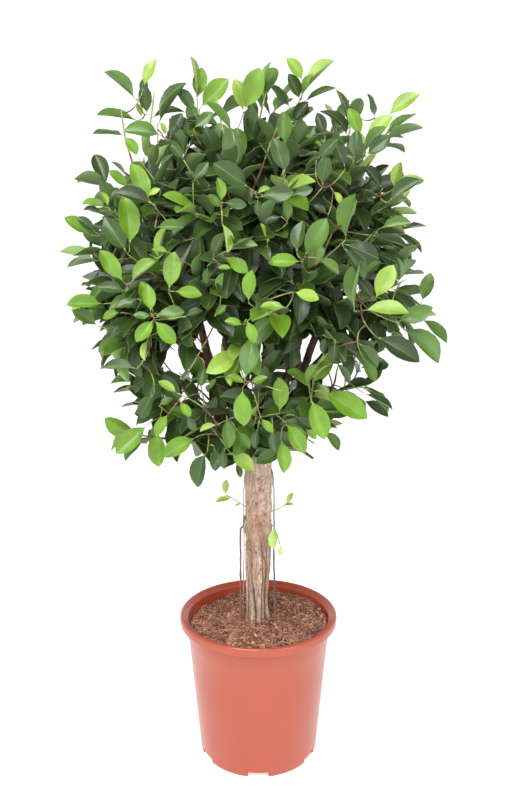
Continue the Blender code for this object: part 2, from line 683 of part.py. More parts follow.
def grow_mass(rng, mass, plan, tips, templates, limb_tree, collection, scrap, material):
    """A stem from the mass's limb, twigs from the stem and their leaves, joined to one solid."""
    leaf_mesh, twig_mesh = templates
    space = Space(mass, limb_tree)
    points, _, heading = plan
    start = points[-1] + heading * GAP
    hub = start + heading * (STEM_LENGTH * 0.8)
    name = "foliage_" + mass
    stem = add_object(name, twig_mesh.copy(), collection, material)
    stem.data.transform(twig_frame(start, hub, STEM_RADIUS))
    placed = []

    def grow(mesh, frame, own_twig=None, leader=False):
        tree = space.tree_in(mesh, frame, leader)
        if not tree or own_twig and any(tree.overlap(other) for other in placed if other is not own_twig):
            return None
        placed.append(tree)
        piece = add_object(f"{name}_{len(scrap.objects)}", mesh, scrap)
        piece.matrix_world = frame
        return tree

    for i, (tip, leaf_count, leader) in enumerate(tips):
        for shift in FOOT_SHIFTS:
            share = 0.1 + 0.85 * (i + 0.5) / len(tips) + shift
            foot = start.lerp(hub, min(0.95, max(0.05, share)))
            twig = grow(twig_mesh, twig_frame(foot, tip, TWIG_RADIUS), leader=leader)
            if twig:
                break
        for number in range(leaf_count if twig else 0):
            for effort in range(LEAF_TRIES):
                frame = leaf_beside(rng, foot, tip, number, effort / LEAF_TRIES)
                if grow(leaf_mesh, frame, twig, leader):
                    break
    bpy.context.view_layer.update()
    boolean(stem, "UNION", scrap, solver="MANIFOLD")
    for piece in list(scrap.objects):
        bpy.data.objects.remove(piece)
    return stem


def make_water_shoot(name, templates, collection, scrap, trunk_cutter, material):
    """A young shoot on the bare trunk: a thin stem with three soft leaves."""
    leaf_mesh, twig_mesh = templates
    azimuth, height, reach, rise, leaf_length = WATER_SHOOTS[name]
    bark = trunk_radius(azimuth, height)
    start = place(azimuth, bark * 0.8, height)
    tip = place(azimuth, bark + reach, height + rise)
    stem = add_object(name, twig_mesh.copy(), collection, material)
    stem.data.transform(twig_frame(start, tip, WATER_SHOOT_RADIUS))
    along = (tip - start).normalized()
    for i, (share, swing, angle) in enumerate(((1.0, 0, 12), (0.97, 110, 58), (0.55, 250, 60))):
        side = Matrix.Rotation(math.radians(swing), 3, along) @ along.orthogonal().normalized()
        way = along * math.cos(math.radians(angle)) + side * math.sin(math.radians(angle))
        length = leaf_length * (1.0 if i < 2 else 0.5)
        root = start.lerp(tip, share) - way * (WATER_SHOOT_RADIUS * 1.5)
        leaf = add_object(f"{name}_leaf_{i}", leaf_mesh, scrap)
        leaf.matrix_world = leaf_frame(root, way, Vector((0, -0.6, 1)), length, length * 0.45)
    bpy.context.view_layer.update()
    boolean(stem, "UNION", scrap)
    boolean(stem, "DIFFERENCE", trunk_cutter)
    for piece in list(scrap.objects):
        bpy.data.objects.remove(piece)
    return stem


# ---------------------------------------------------------------- the whole plant
def tree_of(objects):
    """One search tree over the meshes of objects that have no transform."""
    points, faces = [], []
    for obj in objects:
        base = len(points)
        points += [v.co.copy() for v in obj.data.vertices]
        faces += [tuple(base + i for i in f.vertices) for f in obj.data.polygons]
    return BVHTree.FromPolygons(points, faces)


def new_collection(name, hidden=False):
    made = bpy.data.collections.new(name)
    bpy.context.scene.collection.children.link(made)
    made.hide_render = hidden
    return made


def main():
    for old in list(bpy.data.objects):
        bpy.data.objects.remove(old)
    plant = new_collection("potted_fig_standard")
    cutters = new_collection("cutters", hidden=True)
    notches = new_collection("notches", hidden=True)
    scrap = new_collection("twigs_and_leaves", hidden=True)
    materials = {name: make_material(name) for name in COLOURS}

    make_pot(plant, notches, materials["pot"])
    make_mix(plant, materials["mix"])
    make_trunk("trunk", plant, materials["bark"])
    trunk_cutter = make_trunk("trunk_cutter", cutters, None, extra=GAP)
    plans = plan_limbs()
    grown = make_limbs(plans, plant, cutters, materials["limb"], trunk_cutter)
    roots = [make_aerial_root(name, plant, materials["bark"]) for name in AERIAL_ROOTS]

    templates = (leaf_template(), twig_template())
    limb_tree = tree_of([*grown.values(), *roots])
    tips = share_out_tips()
    for limb, row in LIMBS.items():
        mass = row[-1]
        make_mass(mass, plans[limb], tips[mass], templates, limb_tree, plant, scrap, materials["foliage"])
    for name in WATER_SHOOTS:
        make_water_shoot(name, templates, plant, scrap, trunk_cutter, materials["young"])

    for helper in (*cutters.objects, *notches.objects):
        helper.hide_render = True
        helper.display_type = "WIRE"


main()
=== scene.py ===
"""A laurel fig grown as a standard, in its nursery pot.

Bark, twigs, leaves, pot and potting mix in full detail, each piece standing where its plain solid stands.

Metres, +Z up. The origin lies under the middle of the pot, on the surface that it stands on. Azimuths are in
degrees round the pot's axis: 0 is +X (the right side), 90 is the back, 180 the left and 270 the front.
"""

import math
import random

import bpy
import numpy as np
from bpy.props import FloatProperty, FloatVectorProperty, IntProperty, PointerProperty
from mathutils import Matrix, Vector, noise


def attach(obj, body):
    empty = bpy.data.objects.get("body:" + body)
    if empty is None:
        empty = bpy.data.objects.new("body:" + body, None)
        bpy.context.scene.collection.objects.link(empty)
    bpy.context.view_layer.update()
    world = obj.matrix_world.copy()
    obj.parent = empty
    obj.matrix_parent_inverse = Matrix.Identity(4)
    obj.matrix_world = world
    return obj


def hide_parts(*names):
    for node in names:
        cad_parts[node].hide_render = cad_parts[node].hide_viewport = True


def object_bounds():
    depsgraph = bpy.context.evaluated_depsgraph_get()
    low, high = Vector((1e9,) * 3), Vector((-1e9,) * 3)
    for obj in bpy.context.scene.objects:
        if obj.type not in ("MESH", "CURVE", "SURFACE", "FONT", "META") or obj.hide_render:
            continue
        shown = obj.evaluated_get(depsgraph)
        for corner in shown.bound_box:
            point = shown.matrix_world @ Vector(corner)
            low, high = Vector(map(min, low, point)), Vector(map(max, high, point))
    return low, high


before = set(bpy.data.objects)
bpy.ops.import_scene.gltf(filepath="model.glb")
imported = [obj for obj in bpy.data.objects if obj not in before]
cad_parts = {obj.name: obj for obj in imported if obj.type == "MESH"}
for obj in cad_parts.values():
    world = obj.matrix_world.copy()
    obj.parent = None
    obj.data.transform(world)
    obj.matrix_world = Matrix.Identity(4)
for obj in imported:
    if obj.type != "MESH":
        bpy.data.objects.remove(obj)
CAD_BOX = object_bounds()

bl_info = {
    "name": "Potted Fig Standard",
    "version": (1, 0, 0),
    "blender": (4, 5, 0),
    "location": "View3D > Sidebar > Fig Standard",
    "description": "Grows a fig standard's bark, twigs, leaves, pot and potting mix over its plain solids",
    "category": "Add Mesh",
}

BODY = "root"
SEED = 27
GAP = 0.0003  # what neighbours that touch keep between them
GOLDEN_ANGLE = 137.508
UP = Vector((0.0, 0.0, 1.0))

# ---------------------------------------------------------------- the solids' sizes, as in their source
POT_HEIGHT = 0.250
RIM_RADIUS = 0.135
RIM_WIDTH = 0.0140
RIM_BAND = 0.0145
RIM_SLOPE = 0.0065
BODY_TOP_RADIUS = 0.1225
BASE_RADIUS = 0.1018
POT_WALL = 0.0026
STEP_HEIGHT = 0.2060
STEP_DEPTH = 0.0008
PLATE_RADIUS = 0.064
CHANNEL_HEIGHT = 0.011
NOTCH_COUNT = 6
NOTCH_WIDTH = 0.034
NOTCH_HEIGHT = 0.009

MIX_EDGE = 0.2310
MIX_TILT = 0.0050
MIX_HIGH_SIDE = 10.0
MIX_CROWN = 0.2295
MIX_CLEARANCE = 0.0008
MIX_PAD_RADIUS = 0.041
MIX_BUMP = 0.004

TRUNK_FOOT = MIX_CROWN + GAP
TRUNK_TOP = 0.600
TRUNK_RADII = (
    (0.00, 0.0176),
    (0.10, 0.0180),
    (0.36, 0.0187),
    (0.47, 0.0222),
    (0.80, 0.0226),
    (0.93, 0.0195),
    (1.00, 0.0135),
)
STRAND_COUNT = 9
STRAND_HEIGHT = 0.0042
STRAND_HALF_WIDTH = 15.0
STRAND_TOP = 0.415
STRAND_TOP_SPREAD = 0.022
STRAND_FADE = 0.035
STRAND_WANDER = 9.0
FLARE_HEIGHT = 0.045
FLARE_EXTRA = 0.0016
HOLLOW_AZIMUTH = 352.0
HOLLOW_HEIGHT = 0.276
HOLLOW_DEPTH = 0.0058
HOLLOW_HALF_WIDTH = 48.0
HOLLOW_HALF_HEIGHT = 0.036
TRUNK_MEAN_RADIUS = 0.022
FORK_RADIUS = 0.021  # the trunk's, where the limbs leave it

LIMB_POINTS = 6
STEM_LENGTH = 0.085
CROWN_MIDDLE = Vector((-0.012, 0.0, 0.800))
CROWN_HALF_WIDTH = 0.280
CROWN_RISE = 0.275
CROWN_DROP = 0.300
CROWN_TOP_SQUARENESS = 2.8
CROWN_SKIRT_SQUARENESS = 2.3
SKIRT_LOSS = 0.04
SKIRT_LOSS_RIGHT = 0.24
CROWN_LUMP = 0.07
CROWN_LUMPS = 2.2
GAPPY_BAND = (0.650, 0.725)
GAPPY_SKIP = 0.50

# Masses of foliage: azimuth, distance from the axis and height of the heart.
MASSES = {
    "top": (250, 0.010, 0.985),
    "upper_left": (196, 0.160, 0.935),
    "upper_front": (262, 0.150, 0.925),
    "upper_right": (338, 0.150, 0.935),
    "upper_back_right": (42, 0.150, 0.930),
    "upper_back_left": (125, 0.150, 0.935),
    "middle_left": (184, 0.180, 0.790),
    "middle_front_left": (230, 0.170, 0.795),
    "middle_front_right": (292, 0.165, 0.790),
    "middle_right": (352, 0.180, 0.795),
    "middle_back_right": (52, 0.170, 0.790),
    "middle_back_left": (120, 0.170, 0.790),
    "low_left": (198, 0.140, 0.620),
    "low_front": (262, 0.125, 0.605),
    "low_front_right": (315, 0.125, 0.605),
    "low_right": (350, 0.160, 0.665),
    "low_back_right": (50, 0.135, 0.620),
    "low_back_left": (125, 0.135, 0.620),
}

# Limbs: carrier, where along it, radius at the foot and at the tip, bow of the middle, and mass at the end.
LIMBS = {
    "bough_middle": ("trunk", 0.98, 0.0122, 0.0060, (0.020, 0, 0), "top"),
    "bough_left": ("trunk", 0.86, 0.0120, 0.0065, (0.002, 0, 0.024), "middle_left"),
    "bough_right": ("trunk", 0.93, 0.0078, 0.0045, (0.022, 0, -0.026), "upper_right"),
    "bough_back_right": ("trunk", 0.90, 0.0095, 0.0050, (0.008, 0.008, -0.004), "middle_back_right"),
    "bough_back_left": ("trunk", 0.94, 0.0095, 0.0050, (-0.006, 0.010, 0), "middle_back_left"),
    "branch_upper_left": ("bough_left", 0.62, 0.0052, 0.0038, (0.004, 0, 0.020), "upper_left"),
    "branch_front_left": ("bough_left", 0.36, 0.0050, 0.0038, (-0.006, -0.016, 0), "middle_front_left"),
    "branch_upper_front": ("bough_middle", 0.55, 0.0052, 0.0038, (0, -0.010, -0.006), "upper_front"),
    "branch_right": ("bough_right", 0.40, 0.0046, 0.0036, (0.006, 0.004, -0.003), "middle_right"),
    "branch_front_right": ("bough_right", 0.26, 0.0046, 0.0036, (0.01, -0.02, -0.004), "middle_front_right"),
    "branch_high_back_right": (
        "bough_back_right", 0.60, 0.0048, 0.0036, (0, 0.004, 0.012), "upper_back_right",
    ),
    "branch_high_back_left": (
        "bough_back_left", 0.60, 0.0048, 0.0036, (0, 0.004, 0.012), "upper_back_left",
    ),
    "branch_low_left": ("trunk", 0.80, 0.0048, 0.0036, (0, 0, 0.018), "low_left"),
    "branch_low_front": ("trunk", 0.83, 0.0045, 0.0036, (0, 0, 0.014), "low_front"),
    "branch_low_front_right": ("trunk", 0.79, 0.0045, 0.0036, (0, 0, 0.014), "low_front_right"),
    "branch_low_right": ("trunk", 0.84, 0.0048, 0.0036, (0, 0, 0.002), "low_right"),
    "branch_low_back_right": ("trunk", 0.78, 0.0048, 0.0036, (0, 0, 0.014), "low_back_right"),
    "branch_low_back_left": ("trunk", 0.82, 0.0048, 0.0036, (0, 0, 0.014), "low_back_left"),
}

# Leader shoots, which overtop their mass: azimuth, distance from the axis and height of the last leaf's tip.
LEADERS = {
    "top": ((285, 0.060, 1.135), (330, 0.080, 1.150), (60, 0.080, 1.130)),
    "upper_left": ((193, 0.160, 1.140), (188, 0.225, 1.115), (176, 0.285, 0.985)),
    "upper_front": ((235, 0.120, 1.115), (290, 0.140, 1.080)),
    "upper_right": ((342, 0.225, 1.085), (325, 0.160, 1.095), (355, 0.255, 0.965)),
    "upper_back_right": ((40, 0.170, 1.110), (60, 0.235, 1.050)),
    "upper_back_left": ((130, 0.170, 1.115), (110, 0.235, 1.050)),
    "middle_left": ((184, 0.300, 0.890), (188, 0.302, 0.770)),
    "middle_right": ((352, 0.288, 0.730), (345, 0.272, 0.840)),
    "low_left": ((200, 0.250, 0.555),),
    "low_right": ((345, 0.205, 0.610),),
}

# Free aerial roots: azimuth, height of the top, radius, and distance from the axis at middle and foot.
AERIAL_ROOTS = {
    "aerial_root_left": (184, 0.425, 0.0016, (0.0305, 0.0315)),
    "aerial_root_left_thin": (168, 0.500, 0.0009, (0.0256, 0.0265)),
    "aerial_root_right": (356, 0.505, 0.0014, (0.0264, 0.0290)),
    "aerial_root_back": (70, 0.470, 0.0013, (0.0285, 0.0310)),
}
ROOT_SWING = 0.12  # how far down a root has swung clear of the trunk, as a share of its length
ROOT_TOPS = {"aerial_root_right": 0.68}  # a tapering root's thickness at its top, as a share of its foot's

# Young shoots on the bare trunk: azimuth and height of the foot, and how far out and up the tip lies from it.
WATER_SHOOTS = {
    "water_shoot_left": (192, 0.440, 0.030, 0.022),
    "water_shoot_right": (350, 0.432, 0.026, 0.016),
    "water_shoot_low": (318, 0.418, 0.010, -0.014),
}

# Each shoot's leaves: where along it, turn seen from the front in degrees, length and roll towards edge-on.
# All are turned as if they stood at one height, in millimetres.
SHOOT_SIGHT_HEIGHT = 400
SHOOT_LEAVES = {
    "water_shoot_left": ((1.0, 88, 0.024, 10), (0.72, 187, 0.026, 35), (0.27, 200, 0.010, 20)),
    "water_shoot_right": ((1.0, 62, 0.020, 20), (0.75, 18, 0.018, 60)),
    "water_shoot_low": ((0.36, 264, 0.032, 20), (1.0, 276, 0.018, 40)),
}

# How far a shoot's stem goes on past its tip, as a multiple of its length, and how its middle bows.
SHOOT_STEMS = {
    "water_shoot_left": (1.12, (0.0, 0.0, 0.0)),
    "water_shoot_right": (1.0, (0.0, 0.0, -0.002)),
    "water_shoot_low": (2.45, (0.002, 0.0, 0.006)),
}

# ---------------------------------------------------------------- what the fine growth adds
# Twig tips on shells of the crown: share of the outline, number of tips, leaves on each.
MAIN_SHELLS = ((0.97, 108, 8), (0.64, 12, 5))
FINE_SHELLS = ((0.95, 190, 6), (0.80, 90, 6), (0.62, 36, 5))
TUFTS = 6.0  # how many tufts across the crown
TUFT_DEPTH = 0.13  # how far the crown falls back between them, as a share of the outline
MAIN_INSET = 0.046  # from the outline to a main twig's tip
FINE_INSET = 0.040
TIP_SCATTER = 0.010
NOISE_SEED = 3  # of the twigs' sway, which would otherwise follow the clock
FINE_GAPPY_BAND = (0.600, 0.770)
FINE_GAPPY_SKIP = 0.72
LEADER_LEAVES = 4

# Where the crown is seen from in front.
SIGHT_POINT = Vector((0.005, -1.29, 0.878))

# Openings that line up from there: X and Z where each crosses the crown's middle plane, and its half sizes.
OPENINGS = (
    (-0.080, 0.716, 0.030, 0.042),
    (-0.139, 0.690, 0.024, 0.026),
    (0.085, 0.700, 0.024, 0.036),
    (0.138, 0.734, 0.014, 0.014),
    (-0.095, 0.632, 0.018, 0.020),
    (0.057, 0.632, 0.011, 0.019),
    (0.129, 0.665, 0.020, 0.028),
    (0.045, 0.757, 0.013, 0.018),
    (0.140, 0.787, 0.013, 0.020),
    (0.225, 0.810, 0.012, 0.018),
    (-0.120, 0.618, 0.010, 0.016),
)

# Shades of the leaves from the oldest to the youngest.
SHADES = ("deep", "dark", "middle", "bright", "young")
MM = 0.001

# Leaves that stand out in front, as they line up with the crown's middle plane: X and Z of the root and the
# length in millimetres, the turn in degrees with 90 upwards, the roll from facing the front to edge-on in
# degrees, and the shade.
FRONT_LEAVES = (
    (-175, 1109, 42, 70, 35, 4), (-187, 1092, 54, 140, 60, 2), (-171, 1069, 40, 95, 0, 1),
    (-175, 1094, 26, 90, 10, 2), (-185, 1061, 57, 170, 70, 2), (-155, 1056, 67, 55, 78, 1),
    (-179, 1065, 21, 105, 30, 4), (-149, 1039, 54, 170, 35, 2), (-143, 1038, 19, 110, 30, 4),
    (-187, 1006, 32, 115, 20, 3), (-203, 959, 36, 135, 30, 3), (-98, 1071, 41, 120, 35, 1),
    (-94, 1091, 43, 80, 0, 3), (-90, 1078, 56, 45, 20, 3), (-94, 1094, 54, 95, 80, 4),
    (-23, 1072, 47, 100, 25, 4), (-21, 1074, 60, 70, 0, 3), (-100, 1049, 36, 40, 10, 2),
    (-105, 1039, 38, 130, 25, 1), (-138, 1032, 41, 65, 30, 0), (-39, 1043, 55, 130, 65, 2),
    (-13, 959, 64, 145, 10, 1), (-102, 968, 36, 55, 25, 1), (-116, 1002, 28, 125, 20, 1),
    (64, 1090, 38, 115, 15, 1), (68, 1118, 38, 125, 20, 4), (65, 1094, 35, 65, 50, 3),
    (71, 1105, 54, 45, 65, 4), (69, 1088, 48, 25, 75, 2), (49, 1079, 42, 130, 45, 1),
    (51, 1058, 35, 50, 15, 0), (103, 1038, 33, 110, 10, 0), (54, 1052, 36, 40, 60, 0),
    (42, 1024, 46, 95, 0, 2), (42, 980, 54, 105, 20, 1), (100, 961, 45, 85, 20, 1),
    (159, 1036, 43, 115, 15, 3), (148, 1002, 42, 85, 0, 1), (166, 1028, 52, 50, 30, 4),
    (198, 1067, 51, 35, 40, 4), (179, 1064, 35, 105, 50, 1), (166, 1008, 45, 40, 10, 1),
    (163, 1013, 45, 50, 45, 2), (135, 989, 45, 110, 25, 0), (90, 1002, 41, 45, 20, 1),
    (194, 959, 41, 130, 25, 0), (211, 959, 39, 80, 20, 4), (150, 1069, 17, 120, 70, 1),
    (199, 1036, 23, 0, 75, 1), (-265, 888, 43, 145, 20, 3), (-257, 892, 34, 135, 15, 1),
    (-208, 859, 63, 120, 0, 1), (-204, 869, 75, 90, 25, 3), (-170, 940, 58, 115, 15, 3),
    (-174, 948, 21, 30, 30, 4), (-164, 936, 58, 160, 35, 0), (-215, 814, 57, 125, 5, 3),
    (-206, 812, 53, 40, 55, 3), (-144, 800, 60, 80, 0, 3), (-142, 861, 25, 170, 50, 3),
    (-136, 800, 44, 355, 15, 3), (-169, 766, 49, 110, 5, 3), (-169, 760, 46, 10, 35, 2),
    (-173, 760, 26, 175, 20, 2), (-212, 800, 42, 165, 25, 1), (-194, 788, 33, 200, 25, 1),
    (-248, 780, 53, 180, 30, 3), (-270, 779, 35, 55, 40, 2), (-222, 766, 28, 190, 30, 3),
    (-259, 744, 43, 145, 25, 2), (-236, 931, 23, 115, 40, 4), (-238, 931, 34, 165, 50, 3),
    (-235, 944, 22, 50, 20, 1), (-225, 927, 17, 95, 0, 1), (-163, 900, 41, 0, 35, 2),
    (-58, 938, 36, 95, 25, 3), (-55, 938, 34, 355, 10, 1), (-57, 929, 28, 135, 10, 2),
    (-57, 909, 45, 280, 65, 4), (-73, 853, 39, 65, 30, 1), (-47, 865, 42, 10, 50, 2),
    (-56, 855, 43, 330, 30, 3), (-41, 836, 21, 175, 40, 3), (-60, 792, 34, 85, 50, 2),
    (-16, 782, 47, 85, 20, 3), (-81, 840, 26, 265, 20, 1), (-70, 760, 23, 45, 10, 2),
    (-252, 849, 47, 190, 75, 0), (-247, 925, 25, 175, 60, 1), (-3, 951, 21, 25, 40, 4),
    (-1, 946, 53, 10, 20, 1), (51, 948, 33, 20, 15, 1), (-1, 944, 25, 270, 0, 1), (46, 907, 34, 95, 20, 2),
    (117, 956, 22, 305, 30, 4), (15, 871, 34, 105, 65, 4), (72, 853, 64, 60, 0, 2), (61, 859, 50, 85, 25, 1),
    (69, 847, 50, 180, 20, 3), (56, 799, 39, 345, 20, 4), (45, 774, 39, 175, 35, 3),
    (187, 786, 57, 65, 10, 4), (167, 770, 67, 0, 50, 4), (137, 880, 66, 80, 50, 2),
    (134, 875, 57, 340, 25, 0), (134, 871, 55, 305, 35, 1), (170, 824, 30, 45, 20, 2),
    (190, 898, 46, 10, 45, 2), (202, 938, 54, 35, 45, 1), (92, 853, 40, 325, 40, 2),
    (153, 770, 71, 85, 60, 2), (185, 786, 38, 125, 15, 0), (262, 782, 45, 76, 5, 2),
    (222, 750, 57, 24, 0, 2), (190, 888, 39, 330, 60, 1), (224, 812, 38, 95, 70, 2),
    (176, 888, 57, 345, 65, 0), (36, 917, 27, 200, 40, 0), (109, 919, 26, 140, 30, 0),
    (-173, 765, 43, 95, 10, 3), (-168, 757, 46, 15, 30, 2), (-168, 756, 44, 230, 5, 3),
    (-168, 754, 47, 310, 5, 3), (-179, 724, 33, 260, 55, 4), (-24, 746, 29, 165, 25, 3),
    (-19, 755, 38, 290, 10, 3), (-22, 655, 66, 80, 0, 2), (-21, 650, 30, 155, 35, 3),
    (-16, 647, 31, 25, 35, 3), (-26, 643, 59, 270, 10, 3), (35, 600, 54, 90, 20, 3),
    (86, 626, 65, 290, 10, 3), (104, 638, 78, 330, 15, 3), (45, 584, 55, 305, 10, 3),
    (37, 558, 55, 280, 25, 3), (-48, 534, 48, 325, 15, 4), (-9, 512, 47, 25, 15, 2),
    (-68, 581, 28, 200, 40, 4), (-133, 634, 33, 145, 30, 4), (-130, 621, 29, 305, 0, 3),
    (-148, 600, 40, 235, 20, 3), (-168, 573, 58, 270, 10, 3), (-183, 581, 64, 220, 10, 3),
    (-103, 560, 57, 210, 15, 3), (-53, 595, 48, 275, 15, 2), (-35, 571, 33, 305, 20, 2),
    (4, 592, 28, 310, 10, 3), (76, 576, 25, 320, 25, 4), (107, 571, 38, 310, 40, 2),
    (-85, 536, 59, 245, 35, 1), (188, 729, 76, 332, 25, 0), (173, 634, 49, 335, 65, 1),
    (171, 623, 46, 330, 40, 1), (161, 719, 48, 310, 35, 1), (169, 694, 41, 300, 20, 2),
    (-198, 675, 49, 175, 60, 1), (100, 686, 37, 235, 30, 2), (125, 722, 36, 265, 5, 0),
    (-111, 675, 22, 235, 0, 1), (-88, 683, 34, 260, 0, 1), (-68, 660, 19, 235, 20, 2),
    (-171, 634, 45, 235, 20, 1), (-118, 597, 29, 295, 0, 1), (52, 634, 22, 70, 0, 0),
    (24, 576, 37, 275, 0, 1), (60, 597, 34, 320, 0, 0), (-1, 576, 32, 260, 25, 1), (-74, 544, 38, 275, 20, 1),
    (-56, 539, 30, 260, 10, 1), (-38, 515, 23, 290, 20, 1), (126, 686, 39, 305, 50, 1),
    (-117, 760, 28, 25, 30, 1), (-164, 613, 25, 30, 20, 2), (105, 696, 26, 85, 30, 0),
    (230, 744, 76, 318, 45, 2), (262, 757, 52, 320, 50, 2),
)

# How common each shade from dark to young is among the sprays, at some heights of the crown. The low rows
# lean to brighter shades partly as painted light from the bright floor below.
SPRAY_WEIGHTS = (
    (0.55, (2.0, 3.0, 4.5, 1.2)),
    (0.68, (4.0, 3.5, 2.8, 0.7)),
    (0.80, (5.0, 3.5, 1.8, 0.5)),
    (0.95, (5.0, 3.5, 1.6, 0.5)),
    (1.05, (3.0, 3.0, 3.0, 2.4)),
)

# Painted light: low leaves keep out of the deepest shade, as if lit from the bright floor below.
FLOOR_BOUNCE_BELOW = 0.74  # under this height no leaf has the deepest shade
FEWEST_LEAVES = 1000  # with fewer the crown has not grown
BOX_SLACK = 0.006  # how far a leaf's tip may pass the solids' box
WOOD_CLEARANCE = 0.020  # from the limbs and the trunk to a leaf's middle
GOOD_ROOM = 0.018  # between the middles of leaves, where a twig looks no further
LEAST_ROOM = 0.006  # with less the leaf is left out
LEADER_LEAF = 0.052  # from a leader's tip to the tip of its last leaf
HANG_BELOW = 0.66  # under this height twigs hang, above it they turn up
STALK = 0.16  # a leaf's stalk, as a share of its blade

# A leaf's arch, fold, twist and wave, for the crown and for the young shoots.
LEAF_SHAPES = (
    (0.10, 0.34, 0.10, 0.05),
    (0.22, 0.46, -0.25, 0.08),
    (0.30, 0.28, 0.20, 0.10),
    (0.05, 0.54, -0.10, 0.04),
    (0.38, 0.40, 0.35, 0.06),
    (0.16, 0.22, -0.40, 0.12),
)
SHOOT_LEAF_SHAPES = ((0.12, 0.30, 0.1, 0.05), (0.25, 0.2, -0.2, 0.08), (0.05, 0.3, 0.0, 0.05))

# A leaf's width along its length, both as shares: broadest past the middle, with a short blunt tip.
LEAF_RINGS = (
    (0.00, 0.12),
    (0.06, 0.30),
    (0.18, 0.66),
    (0.34, 0.92),
    (0.53, 1.00),
    (0.70, 0.92),
    (0.84, 0.66),
    (0.93, 0.36),
    (0.975, 0.14),
    (1.00, 0.02),
)

# ---------------------------------------------------------------- what lies on the mix
MIX_RING = (0.021, 0.1165)  # between these distances from the axis the fibres and chips lie
FIBRES_BY_TRUNK = 0.06  # the share of the fibres that lean on the trunk's foot
FIBRE_RING = (0.0225, 0.030)  # between these distances from the axis they do
FIBRE_SLOPE = 0.8
FIBRE_REACH = 0.1175  # no fibre goes further from the axis
FIBRE_POINTS = 6
FIBRE_SIDES = 3
CHIP_SIZES = (0.0022, 0.0030, 0.0030, 0.0045, 0.0060)
CHIP_SPANS = ((0.8, 1.6), (0.5, 0.9), (0.3, 0.6))  # least and most of length, width and height, in sizes
CHIP_TONES = (4, 4, 3, 2, 0.35)  # how common each finish is
HUSK_TONES = (0.12, 0.55, 1.05, 1.75)  # from the damp husk's colour to the dry husk's and beyond

# ---------------------------------------------------------------- colours that the panel leaves out
MOSS = (0.40, 0.42, 0.20)
SCAR_DARK = (0.27, 0.135, 0.085)
SCAR_LIGHT = (0.58, 0.34, 0.205)
OCHRE_DARK = (0.50, 0.24, 0.045)
OCHRE_LIGHT = (0.68, 0.38, 0.10)
OLD_UNDERSIDE = (0.13, 0.19, 0.09)
YOUNG_UNDERSIDE = (0.36, 0.46, 0.18)
PALE_VEIN = (0.34, 0.46, 0.13)
PALE_SHOOT = (0.50, 0.68, 0.20)
SHOOT_STEM = (0.40, 0.42, 0.16)
FLOOR_PAINT = (0.84, 0.82, 0.83)
FLOOR_LIGHT = (1.0, 0.985, 0.99)
BACKDROP = (1.0, 0.99, 0.995)

# ---------------------------------------------------------------- stage
FLOOR_SIZES = (14.0, 14.0, 0.02)
FLOOR_DROP = 0.0102  # from the origin down to the slab's middle
KEY_LIGHT = ((-0.6, -1.6, 2.3), (0, 0, 0.8), 1.7)  # where it stands, what it faces and its size
FILL_LIGHT = ((1.5, -1.8, 1.2), (0, 0, 0.6), 1.2)
CAMERA_TURN = 0.25  # degrees to the left


# ---------------------------------------------------------------- small helpers
def place(azimuth, out, height):
    """The point at that azimuth, distance from the pot's axis and height."""
    a = math.radians(azimuth)
    return Vector((out * math.cos(a), out * math.sin(a), height))


def blend_along(table, share):
    """The value at share in rows of (share, value), by straight lines between them."""
    return np.interp(share, [row[0] for row in table], [row[1] for row in table])


def blend_rows(table, share):
    """Like blend_along, for rows of (share, several values)."""
    shares = [row[0] for row in table]
    return [float(np.interp(share, shares, column)) for column in zip(*(row[1] for row in table))]


def smooth_step(low, high, x):
    t = np.clip((x - low) / (high - low), 0.0, 1.0)
    return t * t * (3.0 - 2.0 * t)


def off_by(azimuth, middle):
    """How far azimuths lie from a middle one, from -180 to 180 degrees."""
    return (azimuth - middle + 180.0) % 360.0 - 180.0


def noise_at(points, scale, shift=0.0):
    """Smooth noise from -1 to 1 at each of an array of points."""
    offset = Vector((shift, shift * 0.7, -shift))
    return np.array([noise.noise(Vector(p) * scale + offset) for p in points])


def tube_faces(rings, sides):
    """The corners of a closed tube's faces in one row, and how many corners each face has."""
    low = np.arange(rings - 1)[:, None] * sides
    s = np.arange(sides)[None, :]
    t = (s + 1) % sides
    quads = np.stack([low + s, low + t, low + t + sides, low + s + sides], axis=-1).reshape(-1, 4)
    ends = [np.arange(sides)[::-1], np.arange(sides) + (rings - 1) * sides]
    return np.concatenate([quads.ravel(), *ends]), np.array([4] * len(quads) + [sides, sides])


def frames_along(points):
    """Heading, side and third direction at each point of a line, turned as little as possible along it."""
    along = np.gradient(points, axis=0)
    along /= np.linalg.norm(along, axis=1)[:, None]
    side = np.array(Vector(along[0]).orthogonal().normalized())
    sides = []
    for heading in along:
        side = side - heading * side.dot(heading)
        side /= np.linalg.norm(side)
        sides.append(side)
    sides = np.array(sides)
    return along, sides, np.cross(along, sides)


def tube_points(points, radii, sides, relief=None):
    """Ring points of a tube round a line. relief gives what each of them stands proud."""
    _, u, v = frames_along(points)
    a = np.arange(sides) * math.tau / sides
    ray = np.cos(a)[None, :, None] * u[:, None, :] + np.sin(a)[None, :, None] * v[:, None, :]
    reach = np.repeat(np.asarray(radii)[:, None], sides, axis=1)
    if relief is not None:
        reach = reach + relief
    return (points[:, None, :] + ray * reach[:, :, None]).reshape(-1, 3)


def bent(start, bow, end, count):
    """Points on the curve from start to end whose middle is pulled by bow."""
    control = (start + end) / 2 + bow * 2
    shares = [i / (count - 1) for i in range(count)]
    return [start * (1 - t) ** 2 + control * 2 * t * (1 - t) + end * t**2 for t in shares]


